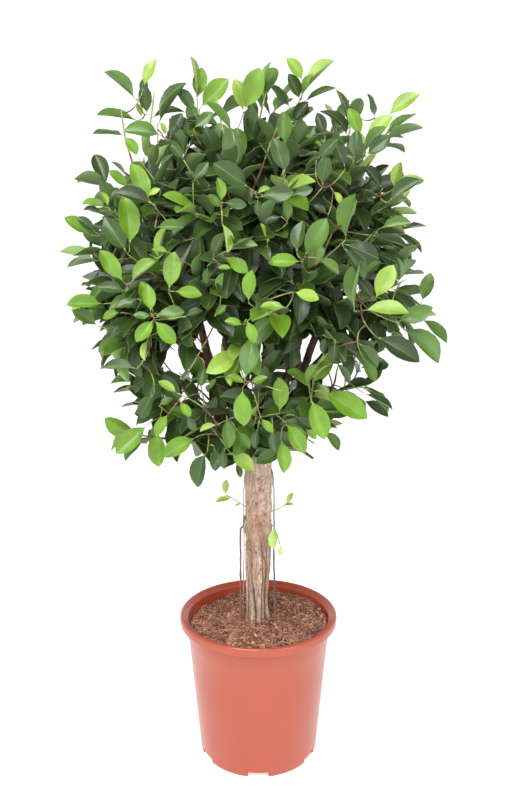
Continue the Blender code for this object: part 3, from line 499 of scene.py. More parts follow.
class Build:
    """Collects the faces of many shapes for one joined mesh."""

    def __init__(self):
        self.points, self.loops, self.totals, self.slots = [], [], [], []
        self.count = 0

    def add(self, points, faces, slot=0):
        """faces are (corners in one row, corners a face); slot is a number, or one for each face."""
        loops, totals = faces
        self.points.append(points)
        self.loops.append(loops + self.count)
        self.totals.append(totals)
        self.slots.append(np.broadcast_to(slot, totals.shape))
        self.count += len(points)

    def piece(self, name, materials, sharp=None):
        """The joined mesh as an object; edges sharper than sharp degrees stay hard."""
        mesh = bpy.data.meshes.new(name)
        points, loops = np.concatenate(self.points), np.concatenate(self.loops)
        totals, slots = np.concatenate(self.totals), np.concatenate(self.slots)
        mesh.vertices.add(len(points))
        mesh.vertices.foreach_set("co", points.astype(np.float32).ravel())
        mesh.loops.add(len(loops))
        mesh.loops.foreach_set("vertex_index", loops.astype(np.int32))
        mesh.polygons.add(len(totals))
        mesh.polygons.foreach_set("loop_start", (np.cumsum(totals) - totals).astype(np.int32))
        for material in materials:
            mesh.materials.append(material)
        mesh.polygons.foreach_set("material_index", slots.astype(np.int32))
        mesh.update(calc_edges=True)
        mesh.validate()
        mesh.shade_smooth()
        if sharp:
            mesh.set_sharp_from_angle(angle=math.radians(sharp))
        obj = bpy.data.objects.new(name, mesh)
        bpy.context.scene.collection.objects.link(obj)
        return obj


def settle(piece, slot, *nodes):
    """Rides a finished piece on the plant's one body and hides the nodes it stands for; its slot is not used.
    """
    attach(piece, BODY)
    if nodes:
        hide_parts(*nodes)
    return piece


# ---------------------------------------------------------------- finishes
class Finish:
    """A Principled material in the making. Patterns are laid in the plant's own space."""

    def __init__(self, name, colour, roughness, specular=0.5, coat=0.0, coat_roughness=0.3):
        self.material = bpy.data.materials.new(name)
        self.material.use_nodes = True
        self.tree = self.material.node_tree
        self.shader = self.tree.nodes["Principled BSDF"]
        values = {
            "Base Color": (*colour, 1.0),
            "Roughness": roughness,
            "Specular IOR Level": specular,
            "Coat Weight": coat,
            "Coat Roughness": coat_roughness,
        }
        for key, value in values.items():
            self.shader.inputs[key].default_value = value

    def node(self, kind, inputs=(), **settings):
        node = self.tree.nodes.new(kind)
        for name, value in settings.items():
            setattr(node, name, value)
        for key, value in dict(inputs).items():
            if isinstance(value, bpy.types.NodeSocket):
                self.tree.links.new(value, node.inputs[key])
            else:
                node.inputs[key].default_value = value
        return node

    def where(self, stretch):
        spot = self.node("ShaderNodeTexCoord").outputs["Object"]
        return self.node("ShaderNodeMapping", {"Vector": spot, "Scale": stretch}).outputs["Vector"]

    def height(self):
        return self.node("ShaderNodeSeparateXYZ", {0: self.where((1.0, 1.0, 1.0))}).outputs["Z"]

    def cloud(self, scale, detail=4.0, stretch=(1.0, 1.0, 1.0)):
        inputs = {"Vector": self.where(stretch), "Scale": scale, "Detail": detail}
        return self.node("ShaderNodeTexNoise", inputs).outputs["Fac"]

    def cells(self, scale, stretch=(1.0, 1.0, 1.0)):
        inputs = {"Vector": self.where(stretch), "Scale": scale}
        return self.node("ShaderNodeTexVoronoi", inputs).outputs["Distance"]

    def mark(self, name):
        return self.node("ShaderNodeAttribute", attribute_name=name).outputs["Fac"]

    def ramp(self, fac, *stops):
        """A socket that runs through the stops, each (place, colour or grey)."""
        node = self.node("ShaderNodeValToRGB", {"Fac": fac})
        ramp = node.color_ramp
        while len(ramp.elements) < len(stops):
            ramp.elements.new(0.5)
        for element, (spot, value) in zip(ramp.elements, stops):
            element.position = spot
            element.color = (*value, 1.0) if isinstance(value, tuple) else (value, value, value, 1.0)
        return node.outputs["Color"]

    def mix(self, fac, a, b):
        a, b = [(*c, 1.0) if isinstance(c, tuple) else c for c in (a, b)]
        return self.node("ShaderNodeMix", {0: fac, 6: a, 7: b}, data_type="RGBA").outputs[2]

    def product(self, a, b):
        return self.node("ShaderNodeMath", {0: a, 1: b}, operation="MULTIPLY").outputs[0]

    def paint(self, colour):
        self.tree.links.new(colour, self.shader.inputs["Base Color"])

    def roughen(self, value):
        self.tree.links.new(value, self.shader.inputs["Roughness"])

    def bump(self, height, distance):
        node = self.node("ShaderNodeBump", {"Height": height, "Distance": distance})
        self.tree.links.new(node.outputs["Normal"], self.shader.inputs["Normal"])


def between(a, b, share):
    return tuple(x + (y - x) * share for x, y in zip(a, b))


def times(colour, factor):
    return tuple(min(1.0, c * factor) for c in colour)


def colours(settings, *names):
    """The panel's colours of those names."""
    return [tuple(getattr(settings, name + "_colour")) for name in names]


def plastic_finish(colour):
    made = Finish("pot_plastic", colour, 0.30, specular=0.5, coat=0.20, coat_roughness=0.14)
    cloud = made.cloud(9.0, 2.0, (1.0, 1.0, 0.5))
    made.paint(made.ramp(cloud, (0.2, times(colour, 0.96)), (0.8, times(colour, 1.04))))
    made.roughen(made.ramp(made.cloud(14.0, 1.0), (0.1, 0.27), (0.9, 0.35)))
    return made.material


def mix_finish(name, dark, light, scale):
    made = Finish(name, light, 0.95, specular=0.25)
    made.paint(made.ramp(made.cloud(scale, 6.0), (0.32, dark), (0.66, light)))
    made.bump(made.cloud(scale * 3.0, 6.0), 0.0008)
    return made.material


def trunk_finish(light, dark, brown):
    """Pale bark in upright streaks, browner where roots have fused to it and dark in its pores; painted shade
    darkens its grooves, cracks and pits and its top under the crown.
    """
    made = Finish("trunk_bark", light, 0.85, specular=0.3)
    fibres = made.cloud(250.0, 8.0, (1.0, 1.0, 0.14))
    tones = between(dark, brown, 0.6), between(brown, light, 0.5), light, times(light, 1.35)
    base = made.ramp(fibres, *zip((0.36, 0.45, 0.54, 0.66), tones))
    grains = made.cloud(300.0, 6.0, (1.0, 1.0, 0.6))
    tones = times(brown, 0.8), between(brown, light, 0.7), times(light, 1.30)
    grainy = made.ramp(grains, *zip((0.38, 0.48, 0.60), tones))
    base = made.mix(made.ramp(made.cloud(35.0, 2.0), (0.40, 0.30), (0.60, 0.75)), base, grainy)
    blotches = made.ramp(made.cloud(26.0, 3.0, (1.0, 1.0, 0.45)), (0.50, 0.0), (0.68, 0.45))
    base = made.mix(blotches, base, brown)
    base = made.mix(made.ramp(made.mark("brown"), (0.0, 0.0), (1.0, 0.90)), base, times(brown, 0.85))
    mossy = made.ramp(made.cloud(9.0, 2.0), (0.52, 0.0), (0.72, 0.30))
    base = made.mix(mossy, base, MOSS)
    pores = made.ramp(made.cells(210.0, (1.0, 1.0, 0.7)), (0.10, 0.8), (0.22, 0.0))
    pores = made.product(pores, made.ramp(made.cloud(60.0, 2.0), (0.46, 0.0), (0.56, 1.0)))
    base = made.mix(pores, base, times(brown, 0.45))
    scarred = made.ramp(made.cloud(420.0, 4.0), (0.36, SCAR_DARK), (0.60, SCAR_LIGHT))
    base = made.mix(made.ramp(made.mark("scar"), (0.0, 0.0), (0.8, 0.95)), base, scarred)
    # Painted shade: the bark darkens upwards towards the crown, as under its shadow.
    height = made.height()
    base = made.mix(made.ramp(height, (0.28, 0.0), (0.38, 0.13), (0.48, 0.21)), base, times(dark, 0.6))
    # Painted shade: the bark darkens where the groove mark lies, in its grooves, cracks, pits and round its
    # knots.
    made.paint(made.mix(made.ramp(made.mark("groove"), (0.0, 0.0), (1.0, 0.80)), base, times(dark, 0.6)))
    made.bump(made.cloud(240.0, 8.0, (1.0, 1.0, 0.25)), 0.0012)
    return made.material


def bough_finish(light, dark):
    made = Finish("bough_bark", dark, 0.82, specular=0.3)
    made.paint(made.ramp(made.cloud(70.0, 7.0), (0.30, times(dark, 0.6)), (0.50, dark), (0.72, light)))
    made.bump(made.cloud(240.0, 6.0), 0.0009)
    return made.material


def plain_bark_finish(name, colour, roughness=0.75, soil=None):
    """Bark of one colour; with a soil colour it browns towards the foot, where it enters the mix."""
    made = Finish(name, colour, roughness, specular=0.3)
    bark = made.ramp(made.cloud(130.0, 5.0), (0.32, times(colour, 0.65)), (0.68, times(colour, 1.3)))
    if soil:
        height = made.height()
        bark = made.mix(made.ramp(height, (MIX_CROWN, 0.9), (MIX_CROWN + 0.075, 0.0)), bark, soil)
    made.paint(bark)
    made.bump(made.cloud(520.0, 4.0), 0.0003)
    return made.material


def leaf_finish(name, colour, roughness, coat):
    """A waxy leaf: faintly cloudy green under a soft sheen."""
    made = Finish(name, colour, roughness, specular=0.5, coat=coat, coat_roughness=0.30)
    made.paint(made.ramp(made.cloud(42.0, 3.0), (0.30, times(colour, 0.80)), (0.70, times(colour, 1.20))))
    return made.material


# ---------------------------------------------------------------- pot
def wall_radius(height):
    """Outside radius of the pot's body at a height, without the step."""
    return BASE_RADIUS + (BODY_TOP_RADIUS - BASE_RADIUS) * height / (POT_HEIGHT - RIM_BAND)


def inner_radius(height):
    """Inside radius of the pot between its floor and its rim."""
    low, high = CHANNEL_HEIGHT + POT_WALL, POT_HEIGHT - RIM_SLOPE
    foot, top = wall_radius(low) - POT_WALL, RIM_RADIUS - RIM_WIDTH
    return foot + (top - foot) * (height - low) / (high - low)


def arc(centre, radius, start, end, count):
    """(radius, height) points on part of a circle; 0 degrees points up and 90 outwards."""
    turns = [math.radians(start + (end - start) * i / (count - 1)) for i in range(count)]
    return [(centre[0] + radius * math.sin(a), centre[1] + radius * math.cos(a)) for a in turns]


def pot_profile():
    """The pot's section, from the middle of its floor up the inside, over the rim and down the outside."""
    under = POT_HEIGHT - RIM_BAND
    floor = CHANNEL_HEIGHT + POT_WALL
    inner = RIM_RADIUS - RIM_WIDTH
    roll = RIM_WIDTH * 0.32
    lip = 0.0016
    step = wall_radius(STEP_HEIGHT)
    inside = [
        (0.0, POT_WALL),
        (PLATE_RADIUS - POT_WALL, POT_WALL),
        (PLATE_RADIUS, floor),
        (inner_radius(floor) - 0.003, floor),
        (inner_radius(floor + 0.003), floor + 0.003),
        *[(inner_radius(h), h) for h in (0.08, 0.14, 0.20, under)],
    ]
    rim = [
        *arc((inner + lip, POT_HEIGHT - RIM_SLOPE - lip), lip, -90, -30, 5),
        *arc((RIM_RADIUS - roll, POT_HEIGHT - roll), roll, 0, 90, 8),
        *arc((RIM_RADIUS - 0.0016, under + 0.0016), 0.0016, 90, 180, 5),
        (RIM_RADIUS - 0.0060, under + 0.0004),
        *arc((BODY_TOP_RADIUS + STEP_DEPTH + 0.0012, under - 0.0008), 0.0012, 0, -90, 4),
    ]
    outside = [
        (step + STEP_DEPTH, STEP_HEIGHT + 0.0004),
        (step + STEP_DEPTH * 0.7, STEP_HEIGHT - 0.0003),
        (step, STEP_HEIGHT - STEP_DEPTH * 2),
        *[(wall_radius(h), h) for h in (0.15, 0.10, 0.05, 0.012, 0.004)],
        (BASE_RADIUS - 0.0002, 0.0012),
        (BASE_RADIUS - 0.0010, 0.0),
        (BASE_RADIUS - POT_WALL - 0.001, 0.0),
        (BASE_RADIUS - POT_WALL, CHANNEL_HEIGHT),
        (PLATE_RADIUS + POT_WALL * 0.4, CHANNEL_HEIGHT),
        (PLATE_RADIUS + POT_WALL * 0.4 - 0.002, 0.0),
        (0.0, 0.0),
    ]
    return inside + rim + outside


def turned_mesh(name, profile, steps):
    """A closed mesh turned about Z from a section whose first and last points lie on the axis."""
    mesh = bpy.data.meshes.new(name)
    mesh.from_pydata([(r, 0.0, z) for r, z in profile], [(i, i + 1) for i in range(len(profile) - 1)], [])
    guide = bpy.data.objects.new(name, mesh)
    bpy.context.scene.collection.objects.link(guide)
    screw = guide.modifiers.new("turn", "SCREW")
    screw.steps = screw.render_steps = steps
    screw.use_merge_vertices = True
    screw.merge_threshold = 0.00001
    return guide


def applied(obj):
    """Applies the object's modifiers to its mesh."""
    graph = bpy.context.evaluated_depsgraph_get()
    mesh = bpy.data.meshes.new_from_object(obj.evaluated_get(graph))
    obj.modifiers.clear()
    obj.data = mesh
    return obj


def box_faces():
    quads = [(0, 2, 3, 1), (4, 5, 7, 6), (0, 1, 5, 4), (2, 6, 7, 3), (0, 4, 6, 2), (1, 3, 7, 5)]
    return np.array(quads).ravel(), np.full(6, 4)


def box_points(sizes):
    corners = [(x, y, z) for z in (-0.5, 0.5) for y in (-0.5, 0.5) for x in (-0.5, 0.5)]
    return np.array(corners) * np.array(sizes)


def make_pot(settings):
    """The moulded pot, with the drain notches cut through the foot of its wall."""
    pot = applied(turned_mesh("nursery_pot", pot_profile(), settings.segments))
    cuts = Build()
    for i in range(NOTCH_COUNT):
        azimuth = 270 + i * 360 / NOTCH_COUNT
        turn = np.array(Matrix.Rotation(math.radians(azimuth), 3, "Z"))
        middle = np.array(place(azimuth, BASE_RADIUS, NOTCH_HEIGHT / 2 - 0.01))
        corners = box_points((POT_WALL * 4, NOTCH_WIDTH, NOTCH_HEIGHT + 0.02))
        cuts.add(corners @ turn.T + middle, box_faces())
    cutter = cuts.piece("notch_cutter", [])
    boolean = pot.modifiers.new("notches", "BOOLEAN")
    boolean.operation = "DIFFERENCE"
    boolean.object = cutter
    applied(pot)
    bpy.data.objects.remove(cutter)
    pot.data.materials.clear()
    pot.data.materials.append(plastic_finish(tuple(settings.colour)))
    pot.data.shade_smooth()
    pot.data.set_sharp_from_angle(angle=math.radians(35.0))
    return settle(pot, "pot", "pot")


# ---------------------------------------------------------------- potting mix
def mix_level(x, y):
    """Height of the potting mix: mounded round the trunk, lumpy, and level under the trunk's foot."""
    out = math.hypot(x, y)
    edge = smooth_step(MIX_PAD_RADIUS, inner_radius(MIX_EDGE), out)
    edge_level = MIX_EDGE + MIX_TILT * math.cos(math.atan2(y, x) - math.radians(MIX_HIGH_SIDE))
    lump = (noise.noise(Vector((x, y, 0.0)) * 28.0) - 0.3) * MIX_BUMP
    lumpy = smooth_step(MIX_PAD_RADIUS, MIX_PAD_RADIUS * 1.4, out)
    return MIX_CROWN + (edge_level - MIX_CROWN) * edge + lump * lumpy


def crumbly(x, y):
    """The mix's level with its crumbs, which die out at the pot's wall."""
    fine = noise.fractal(Vector((x, y, 0.3)) * 70.0, 0.6, 2.0, 4) * 0.0042
    return mix_level(x, y) + fine * (1.0 - 0.6 * smooth_step(0.10, 0.118, math.hypot(x, y)))


def make_mix_body(finish):
    """The mix as one closed body that fills the pot."""
    floor = CHANNEL_HEIGHT + POT_WALL
    edge = inner_radius(MIX_EDGE) - MIX_CLEARANCE
    sides, rings = 220, 84
    low = MIX_EDGE - MIX_TILT - 0.004
    section = [
        (0.0005, floor),
        (inner_radius(floor) - 0.004, floor),
        (inner_radius(low) - MIX_CLEARANCE, low),
    ]
    tops = [edge * (1.0 - k / rings) + 0.0005 * k / rings for k in range(rings + 1)]
    points = []
    a = np.arange(sides) * math.tau / sides
    for out, height in section:
        points += [(out * math.cos(t), out * math.sin(t), height) for t in a]
    for out in tops:
        spots = [(out * math.cos(t), out * math.sin(t)) for t in a]
        points += [(x, y, crumbly(x, y)) for x, y in spots]
    build = Build()
    build.add(np.array(points), tube_faces(len(section) + len(tops), sides))
    return build.piece("mix_body", [finish])


def scattered_spot(rng, ring=MIX_RING):
    """A place on the mix, evenly spread over a ring of it."""
    low, high = ring
    out = math.sqrt(rng.uniform(low**2, high**2))
    a = rng.uniform(0, math.tau)
    return out * math.cos(a), out * math.sin(a)


def make_fibres(count, finishes):
    """Husk fibres that lie on the mix, each a thin bent strand whose ends dip into it."""
    rng = random.Random(SEED + 1)
    build = Build()
    faces = tube_faces(FIBRE_POINTS, FIBRE_SIDES)
    steps = FIBRE_POINTS - 1
    for index in range(count):
        by_trunk = index < count * FIBRES_BY_TRUNK
        x, y = scattered_spot(rng, FIBRE_RING if by_trunk else MIX_RING)
        heading, curl = rng.uniform(0, math.tau), rng.uniform(-1.6, 1.6)
        length = rng.uniform(0.006, 0.023) * rng.choice((1.0, 1.0, 1.7))
        radius = rng.uniform(0.00030, 0.00085)
        lift = rng.uniform(0.0, 0.0070) * rng.random()
        clump = noise.noise(Vector((x, y, 0.7)) * 42.0) * 4.0
        line, radii = [], []
        for k in range(FIBRE_POINTS):
            share = k / steps
            turn = heading + curl * (share - 0.5)
            rise = max(0.0, FIBRE_RING[1] - math.hypot(x, y)) * FIBRE_SLOPE if by_trunk else 0.0
            level = crumbly(x, y) + radius * 0.5 + lift * math.sin(math.pi * share) + rise - 0.0004
            line.append((x, y, level))
            radii.append(radius * (0.4 + 0.6 * math.sin(math.pi * (0.12 + 0.76 * k / steps))))
            x, y = x + math.cos(turn) * length / steps, y + math.sin(turn) * length / steps
            reach = math.hypot(x, y)
            if reach > FIBRE_REACH:
                x, y = x * FIBRE_REACH / reach, y * FIBRE_REACH / reach
        weights = (max(0.4, 2.5 - clump), 3.5, 3.0, max(0.4, 2.2 + clump))
        tone = rng.choices(range(len(HUSK_TONES)), weights)[0]
        build.add(tube_points(np.array(line), radii, FIBRE_SIDES), faces, tone)
    return build.piece("mix_fibres", finishes)


def make_chips(count, finishes):
    """Bark crumbs and husk chips, as uneven little blocks pressed into the mix."""
    rng = random.Random(SEED + 2)
    build = Build()
    faces = box_faces()
    for _ in range(count):
        x, y = scattered_spot(rng)
        size = rng.choice(CHIP_SIZES)
        corners = box_points([size * rng.uniform(*span) for span in CHIP_SPANS])
        corners = corners * np.array([[rng.uniform(0.6, 1.1) for _ in range(3)] for _ in range(8)])
        turn = Matrix.Rotation(rng.uniform(0, math.tau), 3, "Z")
        turn = turn @ Matrix.Rotation(rng.uniform(-0.6, 0.6), 3, "X")
        middle = np.array((x, y, crumbly(x, y) + size * 0.10))
        tone = rng.choices(range(len(CHIP_TONES)), CHIP_TONES)[0]
        build.add(corners @ np.array(turn).T + middle, faces, tone)
    return build.piece("mix_chips", finishes, sharp=30.0)


def make_mix(settings):
    dark, light = colours(settings, "dark", "light")
    tones = [mix_finish(f"husk_{i}", between(dark, light, s * 0.7), between(dark, light, s), 160.0)
             for i, s in enumerate(HUSK_TONES)]
    ochre = mix_finish("husk_ochre", OCHRE_DARK, OCHRE_LIGHT, 120.0)
    body = make_mix_body(mix_finish("mix_crumb", times(dark, 0.6), between(dark, light, 0.62), 110.0))
    settle(body, "potting_mix", "potting_mix")
    settle(make_fibres(settings.fibre_count, tones), "potting_mix")
    settle(make_chips(settings.chip_count, [*tones, ochre]), "potting_mix")


# ---------------------------------------------------------------- trunk
def trunk_radius(azimuth, height):
    """Radius of the trunk at azimuths in degrees and heights, with the strands that have fused to it."""
    share = (height - TRUNK_FOOT) / (TRUNK_TOP - TRUNK_FOOT)
    radius = blend_along(TRUNK_RADII, share)
    flare = 1.0 - smooth_step(TRUNK_FOOT, TRUNK_FOOT + FLARE_HEIGHT, height)
    for i in range(STRAND_COUNT):
        top = STRAND_TOP + STRAND_TOP_SPREAD * math.sin(i * 2.3)
        middle = i * 360 / STRAND_COUNT + STRAND_WANDER * np.sin(height * 22.0 + i * 1.9)
        width = STRAND_HALF_WIDTH * (0.75 + 0.35 * math.sin(i * 1.7) ** 2)
        off = off_by(azimuth, middle)
        ridge = np.exp(-((off / width) ** 2) * 1.6)
        shown = 1.0 - smooth_step(top - STRAND_FADE, top, height)
        proud = STRAND_HEIGHT * (0.7 + 0.3 * math.sin(i * 2.9)) + FLARE_EXTRA * flare
        radius = radius + ridge * shown * proud
    aside = off_by(azimuth, HOLLOW_AZIMUTH) / HOLLOW_HALF_WIDTH
    above = (height - HOLLOW_HEIGHT) / HOLLOW_HALF_HEIGHT
    return radius - HOLLOW_DEPTH * np.exp(-(aside**2) - above**2)


# Knots and scars on the trunk: azimuth, height, half size, how far each stands out, or in where it is a scar,
# and how red its bark is.
KNOTS = (
    (262, 0.417, 0.0095, 0.0016, 0.85),
    (279, 0.416, 0.0044, -0.0026, 0.5),
    (262, 0.430, 0.0024, -0.0016, 0.6),
    (230, 0.3740, 0.0088, 0.0060, 1.0),
    (226, 0.3670, 0.0040, -0.0110, 0.0),
    (233, 0.436, 0.0036, 0.0016, 0.7),
    (301, 0.432, 0.0030, -0.0010, 0.7),
    (318, 0.382, 0.0036, -0.0020, 0.3),
    (188, 0.398, 0.0060, 0.0036, 0.4),
    (276, 0.476, 0.0022, -0.0012, 0.5),
    (292, 0.474, 0.0015, -0.0006, 0.3),
    (262, 0.452, 0.0030, -0.0012, 0.9),
    (270, 0.494, 0.0026, -0.0010, 0.4),
    (284, 0.490, 0.0018, -0.0008, 0.4),
    (20, 0.440, 0.0060, 0.0024, 0.5),
    (110, 0.405, 0.0090, 0.0028, 0.8),
    (75, 0.470, 0.0040, -0.0014, 0.4),
    (150, 0.350, 0.0060, 0.0024, 0.8),
)

# The brown root that runs down from the big scar: rows of (height, azimuth), downwards.
SCAR_ROOT = ((0.425, 266), (0.400, 272), (0.372, 290), (0.325, 305), (0.280, 314), (0.235, 318))
SCAR_ROOT_WIDTH = 13.0

# Furrows between the roots that have fused to the trunk: rows of (height, azimuth), upwards, then half width
# in degrees and depth at the foot.
FURROWS = (
    (((0.23, 260), (0.26, 252), (0.29, 243), (0.33, 231), (0.365, 227)), 6.0, 0.0050),
    (((0.23, 322), (0.27, 316), (0.30, 313), (0.35, 318), (0.38, 308)), 5.0, 0.0040),
    (((0.23, 292), (0.27, 286), (0.32, 292), (0.36, 286), (0.41, 274)), 4.0, 0.0026),
    (((0.23, 214), (0.28, 210), (0.33, 206)), 4.5, 0.0030),
    (
        ((0.28, 316), (0.325, 312), (0.348, 306), (0.357, 290),
         (0.37, 284), (0.39, 281), (0.41, 277), (0.421, 282)), 5.0, 0.0030,
    ),
    (((0.23, 20), (0.29, 8), (0.36, 14), (0.40, 6)), 6.0, 0.0040),
    (((0.23, 66), (0.30, 74), (0.39, 66)), 6.0, 0.0040),
    (((0.23, 118), (0.30, 110), (0.38, 121)), 5.5, 0.0042),
    (((0.23, 160), (0.29, 168), (0.37, 160)), 5.5, 0.0038),
)
FURROW_FOOT = 0.23


def furrowed(azimuth, height):
    """How deep the furrows cut at azimuths and heights, and how far inside one each spot lies, 0 to 1."""
    depth, inside = 0.0, 0.0
    for path, half_width, deepest in FURROWS:
        levels, turns = zip(*path)
        off = off_by(azimuth, np.interp(height, levels, turns))
        left = 1.0 - smooth_step(levels[-1] - 0.02, levels[-1] + 0.01, height)
        risen = smooth_step(FURROW_FOOT, levels[-1], height)
        narrow = half_width * (0.55 + 0.45 * left * (1.0 - risen))
        cut = np.exp(-((off / narrow) ** 2)) * left
        depth = depth + cut * deepest * (1.0 - 0.6 * risen)
        inside = np.maximum(inside, cut)
    return depth, inside


def make_trunk(settings, finish):
    """The trunk's bark: furrows and streaks where roots have fused to it, then knots, scars and cracks."""
    sides, rings = settings.trunk_sides, settings.trunk_rings
    height = np.linspace(TRUNK_FOOT, TRUNK_TOP, rings)[:, None]
    azimuth = (np.arange(sides) * 360.0 / sides)[None, :]
    plain = trunk_radius(azimuth, height)
    uneven = height + 0.02 * np.sin(np.radians(azimuth * 3))
    shown = 1.0 - smooth_step(STRAND_TOP - STRAND_FADE, STRAND_TOP + 0.02, uneven)
    lean = azimuth - 26.0 * smooth_step(0.25, 0.43, height) * np.sin(np.radians(azimuth - 261.0))

    def clouds(scale, climb, shift, turned=azimuth):
        """Noise over the bark; the smaller climb, the longer its streaks."""
        a = np.radians(turned)
        x, y = np.cos(a) * TRUNK_MEAN_RADIUS, np.sin(a) * TRUNK_MEAN_RADIUS
        spots = np.stack(np.broadcast_arrays(x, y, height * climb), axis=-1)
        return noise_at(spots.reshape(-1, 3), scale, shift).reshape(rings, sides)

    streaks = clouds(330.0, 0.10, 2.0, lean)
    cracks = np.clip(0.13 - np.abs(clouds(210.0, 0.13, 5.0, lean)), 0.0, 0.13) / 0.13
    split = np.clip(0.12 - np.abs(clouds(130.0, 0.35, 7.0)), 0.0, 0.12) / 0.12
    depth, inside = furrowed(azimuth, height)
    relief = shown * (0.0011 * streaks - 0.0013 * cracks) - depth
    relief = relief + clouds(170.0, 0.6, 0.0) * 0.0005 + clouds(55.0, 0.5, 3.0) * 0.0008
    relief = relief - split * 0.0004 * (1.0 - shown)
    brown = shown * np.clip(0.30 + 1.1 * clouds(150.0, 0.10, 9.0, lean) + 0.4 * streaks, 0.0, 1.0)
    # Where painted shade darkens the bark: in the cracks, the furrows and the splits.
    groove = np.clip(shown * (0.60 * cracks + 1.0 * inside) + 0.35 * split, 0.0, 1.0)
    levels, turns = zip(*reversed(SCAR_ROOT))
    aside = off_by(azimuth, np.interp(height, levels, turns))
    strand = np.exp(-((aside / SCAR_ROOT_WIDTH) ** 2))
    strand = strand * smooth_step(0.25, 0.32, height) * (1.0 - smooth_step(0.41, 0.43, height))
    relief = relief + strand * 0.0013
    brown = np.maximum(brown, strand * (0.9 + 0.5 * streaks))
    scar = strand * (0.45 + 0.5 * streaks)
    # A line of painted shade along one edge of the scar root.
    edge = 0.8 * np.exp(-(((aside - 15.0) / 4.0) ** 2)) * np.minimum(1.0, strand * 3.0)
    groove = np.maximum(groove, edge)
    rough = clouds(240.0, 0.8, 13.0)
    for turn, level, size, out, redness in KNOTS:
        across = off_by(azimuth, turn) * math.pi / 180.0 * TRUNK_MEAN_RADIUS
        tall = 0.62 if size > 0.01 else 0.9
        away = np.hypot(across, (height - level) * tall) / size * (1.0 + 0.45 * rough)
        swell = np.exp(-(away**2))
        relief = relief + swell * out
        brown = np.maximum(brown, swell * 0.9)
        scar = np.maximum(scar, np.minimum(1.0, swell * 1.3) * redness)
        # Painted shade in a rim round each swollen knot and in each pit.
        ring = np.exp(-(((away - 1.15) / 0.28) ** 2)) if out > 0.002 else 0.0
        pit = np.exp(-((away * 1.1) ** 2)) if out < 0 else 0.0
        groove = np.maximum(groove, np.maximum(ring * 0.5, pit * (1.3 if out < -0.004 else 0.75)))
    end = smooth_step(0.0, 0.004, height - TRUNK_FOOT) * smooth_step(0.0, 0.004, TRUNK_TOP - height)
    radius = plain + relief * settings.relief * end
    angle = np.radians(azimuth)
    points = np.stack(np.broadcast_arrays(np.cos(angle) * radius, np.sin(angle) * radius, height), axis=-1)
    build = Build()
    build.add(points.reshape(-1, 3), tube_faces(rings, sides))
    trunk = build.piece("trunk_bark", [finish], sharp=70.0)
    for name, values in (("brown", brown), ("groove", groove), ("scar", np.clip(scar, 0.0, 1.0))):
        attribute = trunk.data.attributes.new(name, "FLOAT", "POINT")
        values = np.broadcast_to(values, (rings, sides)).astype(np.float32)
        attribute.data.foreach_set("value", values.ravel())
    return settle(trunk, "bark", "trunk")


# ---------------------------------------------------------------- limbs
def heart(mass):
    return place(*MASSES[mass])


def plan_limbs():
    """{name: (start, control bow, tip, radii, heading at the tip)} of every limb, carriers first."""
    lines = {"trunk": [Vector((0, 0, TRUNK_FOOT)), Vector((0, 0, TRUNK_TOP))]}
    plans = {}
    for name, (carrier, where, foot_radius, tip_radius, bow, mass) in LIMBS.items():
        line = lines[carrier]
        spot = where * (len(line) - 1)
        i = min(int(spot), len(line) - 2)
        start = line[i].lerp(line[i + 1], spot - i)
        tip = heart(mass) + (start - heart(mass)).normalized() * STEM_LENGTH
        points = bent(start, Vector(bow), tip, LIMB_POINTS)
        lines[name] = points
        heading = (points[-1] - points[-2]).normalized()
        plans[name] = (start, Vector(bow), tip, (foot_radius, tip_radius), heading)
    return plans


def carrier_radius(carrier):
    return FORK_RADIUS if carrier == "trunk" else (LIMBS[carrier][2] + LIMBS[carrier][3]) / 2


def make_limb(name, plan, finish):
    """A limb that swells where it leaves its carrier, knobbly with old leaf scars."""
    start, bow, tip, (foot, end), _ = plan
    count = max(24, int((tip - start).length / 0.0035))
    line = np.array(bent(start, bow, tip, count))
    share = np.linspace(0.0, 1.0, count)
    sway = np.sin(share * math.pi) * min(0.003, foot * 0.5)
    wave = noise_at(line, 24.0, foot * 900.0)
    line = line + np.stack([wave * sway, noise_at(line, 24.0, 11.0) * sway, np.zeros(count)], axis=-1)
    along = share * (tip - start).length
    swell = foot * 0.55 * np.exp(-np.abs(along - carrier_radius(LIMBS[name][0])) / (foot * 1.6))
    scars = 0.10 * np.exp(-(((along / 0.017 + foot * 300.0) % 1.0 - 0.5) / 0.12) ** 2)
    radii = (foot + (end - foot) * share) * (1.0 + scars) + swell * (1.0 - smooth_step(0.5, 0.9, share))
    sides = 22 if foot > 0.007 else 14
    plain = tube_points(line, radii, sides)
    relief = noise_at(plain, 150.0, 5.0) * 0.07 + noise_at(plain, 420.0, 9.0) * 0.04
    relief = relief.reshape(count, sides) * radii[:, None]
    build = Build()
    build.add(tube_points(line, radii, sides, relief), tube_faces(count, sides))
    return settle(build.piece(name + "_bark", [finish]), "bough_bark", name)


